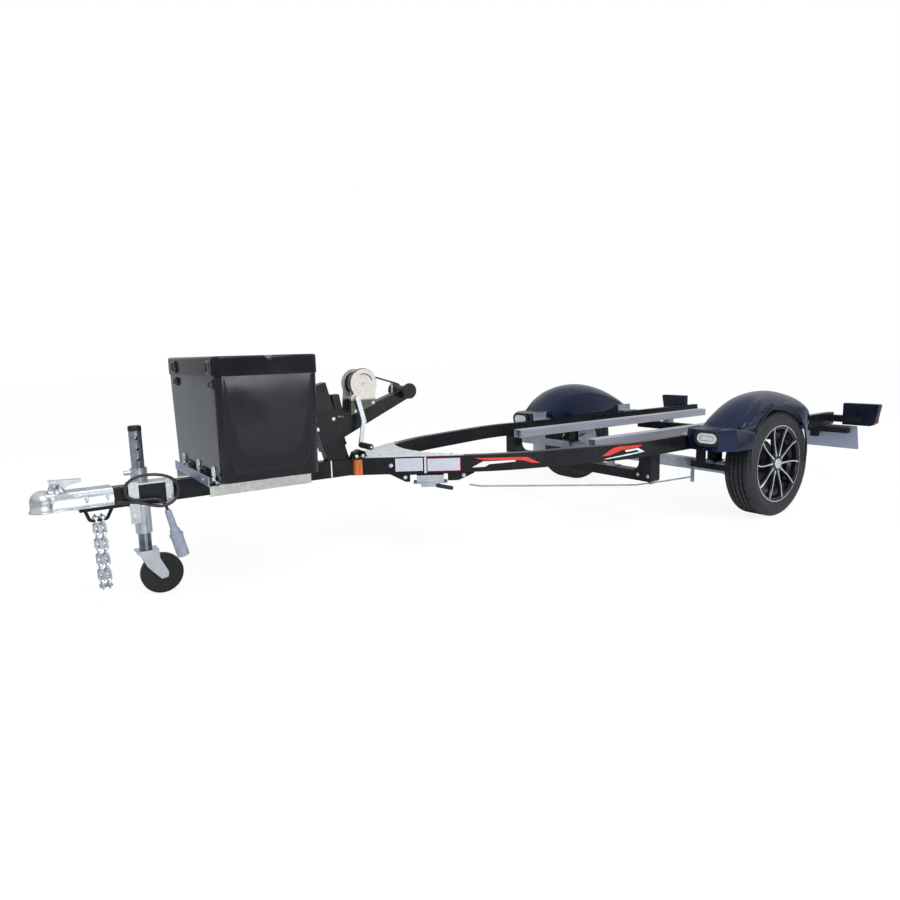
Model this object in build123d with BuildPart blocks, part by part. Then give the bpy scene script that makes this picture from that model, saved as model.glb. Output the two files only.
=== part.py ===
"""Single-axle trailer for a small personal watercraft: Y-shaped frame, storage box, winch post, bunks.

Millimetres. +X points forward to the coupler, +Y to the left side, +Z up. The origin is on the
ground under the middle of the overall length. Places along the trailer are kept as distances ahead
of the wheels' axis and turned into X by ahead().
"""
from build123d import *
import math
import os

os.makedirs("parts", exist_ok=True)

# ---------------------------------------------------------------- driving dimensions
NOSE_END = 3311.0           # the coupler's tip, ahead of the wheels' axis
TAIL_END = -1104.0          # the tail lamps' rear faces
AXIS_X = -(NOSE_END + TAIL_END) / 2     # puts the middle of the length at X = 0
AIR = 0.3                   # seat gap between pieces that only rest on each other
RUNNING = 0.3               # radial gap round a turning shaft
PLATE = 6.0                 # common bracket plate

TYRE_R = 281.0              # 165/55R15
TYRE_W = 165.0
RIM_FLANGE_R = 203.0
RIM_W = 140.0
WHEEL_Y = 713.0             # wheel's middle plane
SPINDLE_R = 17.5
HUB_R = 62.0
DRUM_R = 115.0
DRUM_W = 52.0

FRAME_TOP = 459.0           # top of the drawbar and rails
FRAME_H = 75.0
DRAWBAR_W = 60.0
DRAWBAR_WALL = 4.0
DRAWBAR_FRONT = 3165.0      # ahead of the axis
DRAWBAR_REAR = 1985.0
RAIL_W = 40.0
RAIL_NOSE = 2108.0          # where a rail's outer face leaves the drawbar's side
RAIL_BEND = (1545.0, 402.0)     # ahead, outer half-width at the first bend
RAIL_WIDEST = (900.0, 575.0)    # ahead, outer half-width at the second bend
RAIL_TAIL = (-1085.0, 525.0)    # ahead, outer half-width at the rear end
RAIL_BEND_R = 900.0

AXLE_TUBE = 60.0            # square axle tube
AXLE_AHEAD = 200.0          # tube's middle, ahead of the wheels' axis
AXLE_Z = 262.0
AXLE_HALF = 602.0
ARM_T = 20.0

BUNK_Y = 290.0
BUNK_W = 60.0
BUNK_H = 46.0
BUNK_TOP = 452.0
BUNK_FRONT = 884.0
BUNK_REAR = -860.0

BOX_FRONT = 2750.0
BOX_REAR = 2379.0
BOX_HALF = 354.0
BOX_TAPER = 16.0            # how much each side draws in down to the floor
BOX_PARTING = 850.0
BOX_TOP = 919.0
BOX_WALL = 4.0

JACK_X = 2945.0
JACK_Y = -88.0
JACK_R = 23.0
JACK_TOP = 668.0
CASTER_R = 79.0
CASTER_W = 42.0
CASTER_TRAIL = 50.0

POST_X = 2162.0             # winch post's foot, ahead of the axis
POST_LEAN = 15.5            # degrees, forward
BOOM_END = (1818.0, 741.0)  # bow roller's axis, ahead and Z
BOW_ROLLER_R = 35.0
BOW_ROLLER_HALF = 72.0
DRUM_AT = (2041.0, 785.0)   # winch drum's axis, ahead and Z

FRAME_LOW = FRAME_TOP - FRAME_H


def ahead(distance):
    """X of a place this far ahead of the wheels' axis."""
    return AXIS_X + distance


def save(part, name):
    part.label = name
    export_step(part, f"parts/{name}.step")


def box(x, y, z, mode=Mode.ADD):
    """A block between two values on each axis, X given ahead of the wheels' axis."""
    size = [abs(pair[1] - pair[0]) for pair in (x, y, z)]
    middle = [(pair[0] + pair[1]) / 2 for pair in (x, y, z)]
    with Locations((ahead(middle[0]), middle[1], middle[2])):
        Box(*size, mode=mode)


def rod_y(x, z, y, radius, mode=Mode.ADD):
    """A cylinder along Y between two values of Y, its axis at x ahead and z."""
    with Locations(Location((ahead(x), (y[0] + y[1]) / 2, z), (90, 0, 0))):
        Cylinder(radius, abs(y[1] - y[0]), mode=mode)


def rod_z(x, y, z, radius, mode=Mode.ADD):
    """A cylinder along Z between two values of Z, its axis at x ahead and y."""
    with Locations((ahead(x), y, (z[0] + z[1]) / 2)):
        Cylinder(radius, abs(z[1] - z[0]), mode=mode)


def rod_x(y, z, x, radius, mode=Mode.ADD):
    """A cylinder along X between two values ahead of the wheels' axis."""
    with Locations(Location((ahead((x[0] + x[1]) / 2), y, z), (0, 90, 0))):
        Cylinder(radius, abs(x[1] - x[0]), mode=mode)


def mirrored(part):
    """The same piece on the other side of the trailer."""
    return mirror(part, about=Plane.XZ)


def pair(part):
    """A piece and its twin on the other side, as one node."""
    return Part(children=[part, mirrored(part)])


# ---------------------------------------------------------------- drawbar and side rails
with BuildPart() as drawbar:
    with BuildSketch(Plane.YZ.offset(ahead(DRAWBAR_REAR))):
        with Locations((0, FRAME_TOP - FRAME_H / 2)):
            RectangleRounded(DRAWBAR_W, FRAME_H, 6)
            Rectangle(DRAWBAR_W - 2 * DRAWBAR_WALL, FRAME_H - 2 * DRAWBAR_WALL, mode=Mode.SUBTRACT)
    extrude(amount=DRAWBAR_FRONT - DRAWBAR_REAR)
save(drawbar.part, "drawbar")

# outer face of the left rail in plan: straight from the drawbar, two easy bends, then back
rail_slope = RAIL_BEND[1] - DRAWBAR_W / 2
rail_slope /= RAIL_NOSE - RAIL_BEND[0]
RAIL_LEAD = 60.0            # start inside the drawbar, trimmed off at its side
rail_points = [
    (ahead(RAIL_NOSE + RAIL_LEAD), DRAWBAR_W / 2 - RAIL_LEAD * rail_slope),
    (ahead(RAIL_BEND[0]), RAIL_BEND[1]),
    (ahead(RAIL_WIDEST[0]), RAIL_WIDEST[1]),
    (ahead(RAIL_TAIL[0]), RAIL_TAIL[1]),
]
with BuildPart() as rail:
    with BuildSketch(Plane.XY.offset(FRAME_LOW)) as rail_plan:
        with BuildLine() as rail_line:
            FilletPolyline(*rail_points, radius=RAIL_BEND_R)
            offset(amount=RAIL_W, side=Side.LEFT)
        make_face()
    extrude(amount=FRAME_H)
    # trimmed flush with the drawbar's side
    box(
        (RAIL_NOSE - 300, RAIL_NOSE + 200), (-300, DRAWBAR_W / 2), (FRAME_LOW - 1, FRAME_TOP + 1),
        Mode.SUBTRACT,
    )
save(rail.part, "side_rail_left")
save(mirrored(rail.part), "side_rail_right")


def rail_outer(distance):
    """Outer half-width of the rails at a distance ahead of the wheels' axis, bends left sharp."""
    corners = [(RAIL_NOSE, DRAWBAR_W / 2), RAIL_BEND, RAIL_WIDEST, RAIL_TAIL]
    for (front, near), (back, far) in zip(corners, corners[1:]):
        if distance >= back:
            break
    return near + (far - near) * (front - distance) / (front - back)


rail_angle = math.degrees(math.atan(rail_slope))

# ---------------------------------------------------------------- gussets at the Y junction
GUSSET_REAR = 1690.0
GUSSET_HOLLOW = 1800.0      # middle of the hollow rear edge
GUSSET_INSET = 7.0
with BuildPart() as gusset_top:
    with BuildSketch(Plane.XY.offset(FRAME_TOP)):
        rear_half = rail_outer(GUSSET_REAR) - GUSSET_INSET
        with BuildLine():
            Polyline(
                (ahead(GUSSET_REAR), rear_half),
                (ahead(RAIL_NOSE), DRAWBAR_W / 2 - GUSSET_INSET),
                (ahead(RAIL_NOSE), -DRAWBAR_W / 2 + GUSSET_INSET),
                (ahead(GUSSET_REAR), -rear_half),
            )
            ThreePointArc(
                (ahead(GUSSET_REAR), -rear_half), (ahead(GUSSET_HOLLOW), 0), (ahead(GUSSET_REAR), rear_half)
            )
        make_face()
    extrude(amount=PLATE)
save(gusset_top.part, "gusset_top")

LOWER_T = 8.0
SKIRT_H = 34.0
with BuildPart() as gusset_lower:
    with BuildSketch(Plane.XY.offset(FRAME_LOW - LOWER_T)):
        front_half = rail_outer(1950) - GUSSET_INSET
        rear_half = rail_outer(1640) - GUSSET_INSET - 8
        with BuildLine():
            Polyline(
                (ahead(1640), rear_half),
                (ahead(1950), front_half),
                (ahead(1950), -front_half),
                (ahead(1640), -rear_half),
            )
            ThreePointArc((ahead(1640), -rear_half), (ahead(1745), 0), (ahead(1640), rear_half))
        make_face()
    extrude(amount=LOWER_T)
    # a skirt in front of the parking brake and one behind it, under each rail
    for skirt_from, skirt_to in ((1945, 1885), (1735, 1655)):
        middle = (skirt_from + skirt_to) / 2
        length = (skirt_from - skirt_to) / math.cos(math.radians(rail_angle))
        for side in (1, -1):
            place = (ahead(middle), side * (rail_outer(middle) - 18), FRAME_LOW - LOWER_T - SKIRT_H / 2)
            with Locations(Location(place, (0, 0, -side * rail_angle))):
                Box(length, 8, SKIRT_H)
save(gusset_lower.part, "gusset_lower")

# ---------------------------------------------------------------- parking brake under the left rail
BRAKE_AHEAD = 1808.0
BRAKE_TOP = FRAME_LOW - LOWER_T
brake_plane = Plane(
    origin=(ahead(BRAKE_AHEAD), rail_outer(BRAKE_AHEAD) - 24, BRAKE_TOP),
    x_dir=(math.cos(math.radians(rail_angle)), -math.sin(math.radians(rail_angle)), 0),
    z_dir=(0, 0, 1),
)
# length, width, height, how far down each layer of the housing starts
brake_layers = ((120, 54, 32, 0), (150, 76, 4, 32), (84, 40, 18, 36))
with BuildPart(brake_plane) as parking_brake:
    for length, width, height, down in brake_layers:
        with Locations((0, 0, -down - height / 2)):
            Box(length, width, height)
save(parking_brake.part, "parking_brake")

with BuildPart(brake_plane) as brake_grip:
    with Locations(Location((-62, 34, -52), (0, 78, 0))):
        Cylinder(9, 76)
    fillet(brake_grip.edges().filter_by(GeomType.CIRCLE), 4)
save(brake_grip.part, "parking_brake_grip")

# ---------------------------------------------------------------- drop beam, rear beam, axle
BEAM_FRONT = 750.0
BEAM_DEPTH = 64.0
BEAM_LOW = 247.0
BEAM_H = 50.0
LEG_OUT = 560.0
LEG_IN = 483.0
with BuildPart() as drop_beam:
    with BuildSketch(Plane.YZ.offset(ahead(BEAM_FRONT - BEAM_DEPTH))):
        with BuildLine():
            Polyline(
                (-LEG_OUT, FRAME_LOW), (-LEG_OUT, BEAM_LOW), (LEG_OUT, BEAM_LOW), (LEG_OUT, FRAME_LOW),
                (LEG_IN, FRAME_LOW), (LEG_IN, BEAM_LOW + BEAM_H),
                (-LEG_IN, BEAM_LOW + BEAM_H), (-LEG_IN, FRAME_LOW), (-LEG_OUT, FRAME_LOW),
            )
        make_face()
    extrude(amount=BEAM_DEPTH)
    inner = drop_beam.edges().filter_by(Axis.X).group_by(Axis.Z)[1]
    fillet(inner, 48)
    outer = drop_beam.edges().filter_by(Axis.X).group_by(Axis.Z)[0]
    fillet(outer, 14)
save(drop_beam.part, "drop_beam")

REAR_BEAM_AHEAD = -480.0
REAR_BEAM = 50.0
with BuildPart() as rear_beam:
    with BuildSketch(Plane.XZ.offset(-(rail_outer(REAR_BEAM_AHEAD) - 4))):
        with Locations((ahead(REAR_BEAM_AHEAD), FRAME_LOW - REAR_BEAM / 2)):
            RectangleRounded(REAR_BEAM, REAR_BEAM, 6)
            Rectangle(REAR_BEAM - 8, REAR_BEAM - 8, mode=Mode.SUBTRACT)
    extrude(amount=2 * (rail_outer(REAR_BEAM_AHEAD) - 4))
save(rear_beam.part, "rear_beam")

with BuildPart() as axle_tube:
    with BuildSketch(Plane.XZ.offset(-AXLE_HALF)):
        with Locations((ahead(AXLE_AHEAD), AXLE_Z)):
            RectangleRounded(AXLE_TUBE, AXLE_TUBE, 7)
            Rectangle(AXLE_TUBE - 10, AXLE_TUBE - 10, mode=Mode.SUBTRACT)
    extrude(amount=2 * AXLE_HALF)
save(axle_tube.part, "axle_tube")

HANGER_Y = rail_outer(AXLE_AHEAD) - RAIL_W / 2
with BuildPart() as hanger:
    hanger_x = (AXLE_AHEAD - 45, AXLE_AHEAD + 45)
    hanger_foot = AXLE_Z + AXLE_TUBE / 2
    box(hanger_x, (HANGER_Y - 30, HANGER_Y + 30), (hanger_foot, hanger_foot + PLATE))
    box(hanger_x, (HANGER_Y - 4, HANGER_Y + 4), (hanger_foot, FRAME_LOW))
    for web in (-38, 38):
        web_x = (AXLE_AHEAD + web - 3, AXLE_AHEAD + web + 3)
        box(web_x, (HANGER_Y - 18, HANGER_Y + 18), (hanger_foot, FRAME_LOW))
save(pair(hanger.part), "axle_hangers")

ARM_IN = AXLE_HALF
BACKPLATE_IN = ARM_IN + ARM_T
BACKPLATE_T = 6.0
HUB_IN = BACKPLATE_IN + BACKPLATE_T + 5
SPINDLE_END = WHEEL_Y + 10
with BuildPart() as arm:
    with BuildSketch(Plane.XZ.offset(-ARM_IN)):
        with Locations((ahead(AXLE_AHEAD), AXLE_Z)):
            Circle(38)
        with Locations((ahead(0), TYRE_R)):
            Circle(40)
        with Locations((ahead(AXLE_AHEAD / 2), (AXLE_Z + TYRE_R) / 2)):
            Rectangle(AXLE_AHEAD, 58, rotation=math.degrees(math.atan2(AXLE_Z - TYRE_R, AXLE_AHEAD)))
    extrude(amount=-ARM_T)
    rod_y(0, TYRE_R, (ARM_IN + ARM_T, BACKPLATE_IN + BACKPLATE_T), DRUM_R + 6)
    rod_y(0, TYRE_R, (ARM_IN, SPINDLE_END), SPINDLE_R)
save(arm.part, "suspension_arm_left")
save(mirrored(arm.part), "suspension_arm_right")


# ---------------------------------------------------------------- wheels
def wheel_plane(y=WHEEL_Y):
    """Local x is the radius, pointing up, and local y points outboard."""
    return Plane(origin=(ahead(0), y, TYRE_R), x_dir=(0, 0, 1), z_dir=(-1, 0, 0))


WHEEL_AXIS = Axis((ahead(0), WHEEL_Y, TYRE_R), (0, 1, 0))
BEAD_R = 190.0
TYRE_WALL = 9.0
HALF = TYRE_W / 2
RIM_HALF = RIM_W / 2
with BuildPart() as tyre:
    with BuildSketch(wheel_plane()):
        with BuildLine():
            Polyline(
                (BEAD_R, RIM_HALF - 8.6), (RIM_FLANGE_R + 1, RIM_HALF - 5.6),
                (RIM_FLANGE_R + 1, RIM_HALF), (RIM_FLANGE_R + 12, HALF - 3),
            )
            ThreePointArc((RIM_FLANGE_R + 12, HALF - 3), (TYRE_R - 42, HALF), (TYRE_R - 16, HALF - 10))
            ThreePointArc((TYRE_R - 16, HALF - 10), (TYRE_R - 5, HALF - 17), (TYRE_R, HALF - 30))
            Line((TYRE_R, HALF - 30), (TYRE_R, 0))
            Line((TYRE_R, 0), (TYRE_R - TYRE_WALL, 0))
            Line((TYRE_R - TYRE_WALL, 0), (TYRE_R - TYRE_WALL, HALF - 30))
            Polyline(
                (TYRE_R - TYRE_WALL, HALF - 30), (TYRE_R - 24, HALF - 14),
                (RIM_FLANGE_R + 12, HALF - 14), (BEAD_R, RIM_HALF - 20), (BEAD_R, RIM_HALF - 8.6),
            )
        make_face()
        mirror(about=Plane.XZ)
    revolve(axis=WHEEL_AXIS)
save(tyre.part, "tyre_left")
save(mirrored(tyre.part), "tyre_right")

WELL_R = 174.0
RIM_T = 6.0
SEAT_R = BEAD_R - AIR
HUB_FACE = WHEEL_Y + 22
DISC_T = 22.0
SPOKE_PAIRS = 5
# each spoke's cross-sections: radius, degrees off the pair's middle, y, width, depth
SPOKE_SECTIONS = (
    (HUB_R - 14, 13, WHEEL_Y + 34, 19, 20),
    (118, 11, WHEEL_Y + 48, 17, 19),
    (SEAT_R - 3, 17, WHEEL_Y + RIM_HALF - 13, 19, 18),
)
LUGS = 4
LUG_PCD = 100.0
CAP_R = 27.0
with BuildPart() as rim:
    with BuildSketch(wheel_plane()):
        with BuildLine():
            Polyline(
                (RIM_FLANGE_R, RIM_HALF), (RIM_FLANGE_R, RIM_HALF - 5), (SEAT_R, RIM_HALF - 8),
                (SEAT_R, RIM_HALF - 34), (WELL_R, RIM_HALF - 46), (WELL_R, -RIM_HALF + 46),
                (SEAT_R, -RIM_HALF + 34), (SEAT_R, -RIM_HALF + 8), (RIM_FLANGE_R, -RIM_HALF + 5),
                (RIM_FLANGE_R, -RIM_HALF), (SEAT_R - RIM_T, -RIM_HALF), (SEAT_R - RIM_T, -RIM_HALF + 36),
                (WELL_R - RIM_T, -RIM_HALF + 48), (WELL_R - RIM_T, RIM_HALF - 48),
                (SEAT_R - RIM_T, RIM_HALF - 34), (SEAT_R - RIM_T, RIM_HALF), (RIM_FLANGE_R, RIM_HALF),
            )
        make_face()
    revolve(axis=WHEEL_AXIS)
    rod_y(0, TYRE_R, (HUB_FACE, HUB_FACE + DISC_T), HUB_R)
    # tapered spokes in pairs, which part and lean outwards towards the rim
    for turn in range(SPOKE_PAIRS):
        for side in (-1, 1):
            sections = []
            for radius, spread, y, wide, deep in SPOKE_SECTIONS:
                angle = 360 / SPOKE_PAIRS * (turn + 0.5) + side * spread
                spin = Location((ahead(0), 0, TYRE_R), (0, angle, 0))
                section_plane = spin * Plane(origin=(0, y, radius), x_dir=(1, 0, 0), z_dir=(0, 0, 1)).location
                with BuildSketch(Plane(section_plane)) as section:
                    Rectangle(wide, deep)
                sections.append(section.sketch)
            loft(sections)
    rod_y(0, TYRE_R, (HUB_FACE - 1, HUB_FACE + DISC_T + 1), CAP_R + AIR, Mode.SUBTRACT)
    for lug in range(LUGS):
        turn = math.radians(360 / LUGS * (lug + 0.5))
        lug_x = LUG_PCD / 2 * math.sin(turn)
        lug_z = LUG_PCD / 2 * math.cos(turn)
        rod_y(lug_x, TYRE_R + lug_z, (HUB_FACE - 1, HUB_FACE + DISC_T + 1), 7, Mode.SUBTRACT)
        rod_y(lug_x, TYRE_R + lug_z, (HUB_FACE + 8, HUB_FACE + DISC_T + 1), 11, Mode.SUBTRACT)
save(rim.part, "rim_left")
save(mirrored(rim.part), "rim_right")

with BuildPart() as hub:
    rod_y(0, TYRE_R, (HUB_IN, HUB_IN + DRUM_W), DRUM_R)
    rod_y(0, TYRE_R, (HUB_IN + DRUM_W, HUB_FACE), HUB_R - 2)
    rod_y(0, TYRE_R, (HUB_FACE, HUB_FACE + DISC_T + 12), CAP_R)
    fillet(hub.edges().filter_by(GeomType.CIRCLE).sort_by(Axis.Y)[-1], 6)
    rod_y(0, TYRE_R, (HUB_IN, SPINDLE_END + 4), SPINDLE_R + RUNNING, Mode.SUBTRACT)
    for lug in range(LUGS):
        turn = math.radians(360 / LUGS * (lug + 0.5))
        lug_x = LUG_PCD / 2 * math.sin(turn)
        lug_z = LUG_PCD / 2 * math.cos(turn)
        rod_y(lug_x, TYRE_R + lug_z, (HUB_FACE, HUB_FACE + DISC_T - 4), 6)
save(hub.part, "hub_drum_left")
save(mirrored(hub.part), "hub_drum_right")

# ---------------------------------------------------------------- fenders
FENDER_IN = 582.0
FENDER_OUT = 812.0
FENDER_WALL = 4.0
FENDER_FRONT = 505.0
FENDER_LOW = 440.0
NOSE_TOP = 497.0
NOSE_LOW = 394.0
NOSE_REAR = 262.0
ARCH_AT = (44.0, 335.0)     # ahead, z
ARCH_R = 261.0
# ahead, outer edge, height of the crown, how far the crown falls to its edges
DOME_STATIONS = (
    (402, 796, 470, 8), (361, 806, 546, 34), (300, 806, 602, 50), (222, 806, 641, 58), (120, 806, 661, 62),
    (0, 806, 662, 62), (-110, 806, 644, 60), (-205, 806, 616, 56), (-268, 787, 588, 50), (-330, 758, 553, 42),
    (-390, 726, 510, 28), (-430, 698, 465, 14),
)


def dome_form(inset):
    """The crowned dome, or its inside when the walls are inset."""
    low = FENDER_LOW - 3 * inset
    half = (DOME_STATIONS[0][0] - DOME_STATIONS[-1][0]) / 2
    middle = (DOME_STATIONS[0][0] + DOME_STATIONS[-1][0]) / 2
    with BuildPart() as form:
        for distance, edge, crown, fall in DOME_STATIONS:
            inner = FENDER_IN + inset
            outer = edge - inset
            top = crown - inset
            side = top - fall
            shift = inset * (distance - middle) / half
            with BuildSketch(Plane.YZ.offset(ahead(distance - shift))):
                with BuildLine():
                    Polyline((inner, side), (inner, low), (outer, low), (outer, side))
                    ThreePointArc((outer, side), ((inner + outer) / 2, top), (inner, side))
                make_face()
        loft()
    return form.part


def skirt_form(inset):
    """The low nose with the skirt behind it, or their inside."""
    with BuildPart() as form:
        with BuildSketch(Plane.XY.offset(NOSE_LOW - 3 * inset)):
            with BuildLine():
                FilletPolyline(
                    (ahead(300), FENDER_IN + inset), (ahead(FENDER_FRONT - inset), FENDER_IN + inset),
                    (ahead(FENDER_FRONT - inset), 757 - inset), (ahead(435), FENDER_OUT - inset),
                    (ahead(NOSE_REAR), FENDER_OUT - inset),
                    radius=16,
                )
                Line((ahead(NOSE_REAR), FENDER_OUT - inset), (ahead(300), FENDER_IN + inset))
            make_face()
        extrude(amount=NOSE_TOP - NOSE_LOW + 2 * inset)
    return form.part


with BuildPart() as fender:
    add(dome_form(0))
    add(skirt_form(0))
    add(dome_form(FENDER_WALL), mode=Mode.SUBTRACT)
    add(skirt_form(FENDER_WALL), mode=Mode.SUBTRACT)
    rod_y(*ARCH_AT, (FENDER_OUT - 60, FENDER_OUT + 10), ARCH_R, Mode.SUBTRACT)
save(fender.part, "fender_left")
save(mirrored(fender.part), "fender_right")

FRONT_LAMP = (700.0, 457.0)     # Y, Z
with BuildPart() as front_lamp:
    with BuildSketch(Plane.YZ.offset(ahead(FENDER_FRONT + AIR))):
        with Locations(FRONT_LAMP):
            SlotOverall(111, 52)
    extrude(amount=11)
    fillet(front_lamp.faces().sort_by(Axis.X)[-1].edges(), 5)
save(pair(front_lamp.part), "front_lamps")

BRACKET_PLACES = (460.0, -356.0)
BRACKET_HALF = 62.0
BRACKET_RISE = 45.0
with BuildPart() as fender_bracket:
    for place in BRACKET_PLACES:
        outer_face = rail_outer(place)
        bracket_x = (place - BRACKET_HALF, place + BRACKET_HALF)
        if place > 0:
            bracket_x = (place - BRACKET_HALF, FENDER_FRONT - 2)
        box(bracket_x, (outer_face - 24, FENDER_IN), (FRAME_TOP, FRAME_TOP + PLATE))
        box(bracket_x, (FENDER_IN - PLATE, FENDER_IN), (FRAME_TOP, FRAME_TOP + BRACKET_RISE))
save(pair(fender_bracket.part), "fender_brackets")

# ---------------------------------------------------------------- bunks
with BuildPart() as bunk:
    with BuildSketch(Plane.YZ.offset(ahead(BUNK_REAR))):
        with Locations((BUNK_Y, BUNK_TOP - BUNK_H / 2)):
            RectangleRounded(BUNK_W, BUNK_H, 3)
            Rectangle(BUNK_W - 8, BUNK_H - 8, mode=Mode.SUBTRACT)
        with Locations((BUNK_Y, BUNK_TOP - BUNK_H)):
            Rectangle(BUNK_W - 36, 20, mode=Mode.SUBTRACT)
    extrude(amount=BUNK_FRONT - BUNK_REAR)
save(bunk.part, "bunk_left")
save(mirrored(bunk.part), "bunk_right")

BUNK_LOW = BUNK_TOP - BUNK_H
# where each post stands: middle ahead of the axis, height of the beam's top
bunk_posts_at = (
    (BEAM_FRONT - BEAM_DEPTH / 2, BEAM_LOW + BEAM_H),
    (REAR_BEAM_AHEAD, FRAME_LOW),
)
with BuildPart() as bunk_posts:
    for post_x, foot in bunk_posts_at:
        box((post_x - 28, post_x + 28), (BUNK_Y - 22, BUNK_Y - 16), (foot, BUNK_LOW))
        box((post_x + 22, post_x + 28), (BUNK_Y - 22, BUNK_Y + 22), (foot, BUNK_LOW))
        box((post_x - 28, post_x + 28), (BUNK_Y - 26, BUNK_Y + 26), (foot, foot + 5))
        box((post_x - 28, post_x + 28), (BUNK_Y - 26, BUNK_Y + 26), (BUNK_LOW - 5, BUNK_LOW))
save(pair(bunk_posts.part), "bunk_posts")

# ---------------------------------------------------------------- storage box on its tray
TRAY_HALF = 330.0
TRAY_FRONT = 2802.0
TRAY_REAR = 2385.0
TRAY_TOP = 476.0
TRAY_DROP = 31.0
ANGLE_T = 4.0
ANGLE_W = 36.0
TRAY_LIP = 10.0             # how far the front angle's lip stands above the tray
TRAY_BARS = (2470.0, 2660.0)
with BuildPart() as tray:
    # a ring of angle iron, its flanges down at the sides
    with BuildSketch(Plane.XY.offset(TRAY_TOP - ANGLE_T)):
        with Locations((ahead((TRAY_FRONT + TRAY_REAR) / 2), 0)):
            Rectangle(TRAY_FRONT - TRAY_REAR, 2 * TRAY_HALF)
            Rectangle(TRAY_FRONT - TRAY_REAR - 2 * ANGLE_W, 2 * (TRAY_HALF - ANGLE_W), mode=Mode.SUBTRACT)
    extrude(amount=ANGLE_T)
    for side in (1, -1):
        flange_y = sorted((side * TRAY_HALF, side * (TRAY_HALF - ANGLE_T)))
        box((TRAY_REAR, TRAY_FRONT), flange_y, (TRAY_TOP - TRAY_DROP, TRAY_TOP))
    box(
        (TRAY_FRONT - ANGLE_T, TRAY_FRONT), (-TRAY_HALF + 60, TRAY_HALF - 60),
        (TRAY_TOP - ANGLE_T, TRAY_TOP + TRAY_LIP),
    )
    # two hat bars carry it across the drawbar
    for bar_x in TRAY_BARS:
        box((bar_x - 20, bar_x + 20), (-TRAY_HALF + 2, TRAY_HALF - 2), (FRAME_TOP + AIR, TRAY_TOP))
save(tray.part, "box_tray")

BOX_LOW = TRAY_TOP + AIR
BOX_CORNER = 30.0
box_middle = (BOX_FRONT + BOX_REAR) / 2


def box_form(inset, low, high):
    """The box's tapered body, or its inside."""
    with BuildPart() as form:
        for z in (low, high):
            draw_in = BOX_TAPER * (BOX_PARTING - z) / (BOX_PARTING - BOX_LOW)
            with BuildSketch(Plane.XY.offset(z)):
                with Locations((ahead(box_middle), 0)):
                    RectangleRounded(
                        BOX_FRONT - BOX_REAR - 0.5 * draw_in - 2 * inset,
                        2 * (BOX_HALF - draw_in - inset),
                        BOX_CORNER - inset,
                    )
        loft()
    return form.part


with BuildPart() as box_body:
    add(box_form(0, BOX_LOW, BOX_PARTING))
    add(box_form(BOX_WALL, BOX_LOW + BOX_WALL, BOX_PARTING + 1), mode=Mode.SUBTRACT)
HINGE_X = BOX_REAR - 10
HINGE_Z = BOX_PARTING
HINGE_Y = (-220.0, 220.0)
with BuildPart() as box_hinged:
    add(box_body.part)
    for hinge_y in HINGE_Y:
        for ear in (-15, 15):
            ear_y = (hinge_y + ear - 5, hinge_y + ear + 5)
            box((HINGE_X - 6, BOX_REAR + 2), ear_y, (HINGE_Z - 22, HINGE_Z - 8))
            rod_y(HINGE_X, HINGE_Z, ear_y, 8)
            box((HINGE_X - 6, HINGE_X + 6), ear_y, (HINGE_Z - 22, HINGE_Z))
        rod_y(HINGE_X, HINGE_Z, (hinge_y - 18, hinge_y + 18), 3.5)
save(box_hinged.part, "box_body")

LID_LIP = 4.0
with BuildPart() as lid:
    with BuildSketch(Plane.XY.offset(BOX_PARTING + 0.6)):
        with Locations((ahead(box_middle), 0)):
            RectangleRounded(
                BOX_FRONT - BOX_REAR + 2 * LID_LIP, 2 * (BOX_HALF + LID_LIP), BOX_CORNER + LID_LIP
            )
    extrude(amount=BOX_TOP - BOX_PARTING - 0.6)
    fillet(lid.faces().sort_by(Axis.Z)[-1].edges(), 9)
    with BuildSketch(Plane.XY.offset(BOX_PARTING)):
        with Locations((ahead(box_middle), 0)):
            RectangleRounded(BOX_FRONT - BOX_REAR - 4, 2 * BOX_HALF - 4, BOX_CORNER - 2)
    extrude(amount=BOX_TOP - BOX_PARTING - BOX_WALL - 3, mode=Mode.SUBTRACT)
    # room for the body's hinge ears, then the lid's own knuckles
    for hinge_y in HINGE_Y:
        box(
            (HINGE_X - 10, BOX_REAR + 1), (hinge_y - 22, hinge_y + 22), (BOX_PARTING, BOX_PARTING + 14),
            Mode.SUBTRACT,
        )
        box((HINGE_X - 4, BOX_REAR + 1), (hinge_y - 9, hinge_y + 9), (HINGE_Z, HINGE_Z + 22))
        rod_y(HINGE_X, HINGE_Z, (hinge_y - 9, hinge_y + 9), 8)
        rod_y(HINGE_X, HINGE_Z, (hinge_y - 10, hinge_y + 10), 3.5 + RUNNING, Mode.SUBTRACT)
save(lid.part, "box_lid")


# ---------------------------------------------------------------- winch post, boom and bow roller
POST_DEPTH = 96.0
POST_W = 50.0
POST_HEIGHT = 338.0
SLEEVE_LOW = 54.0
SLEEVE_HIGH = 210.0
SLEEVE_T = 6.0
BOOM_W = 48.0
lean_sin = math.sin(math.radians(POST_LEAN))
lean_cos = math.cos(math.radians(POST_LEAN))


def post_plane(offset_y):
    """Local x runs forward across the post, local y up along it."""
    return Plane(
        origin=(ahead(POST_X), offset_y, FRAME_TOP),
        x_dir=(lean_cos, 0, -lean_sin), z_dir=(0, -1, 0),
    )


with BuildPart() as post:
    with BuildSketch(post_plane(POST_W / 2)):
        with Locations((0, POST_HEIGHT / 2 - 30)):
            Rectangle(POST_DEPTH, POST_HEIGHT + 60)
    extrude(amount=POST_W)
    box((POST_X - 200, POST_X + 200), (-60, 60), (FRAME_TOP - 150, FRAME_TOP + AIR), Mode.SUBTRACT)
save(post.part, "winch_post")

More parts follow.
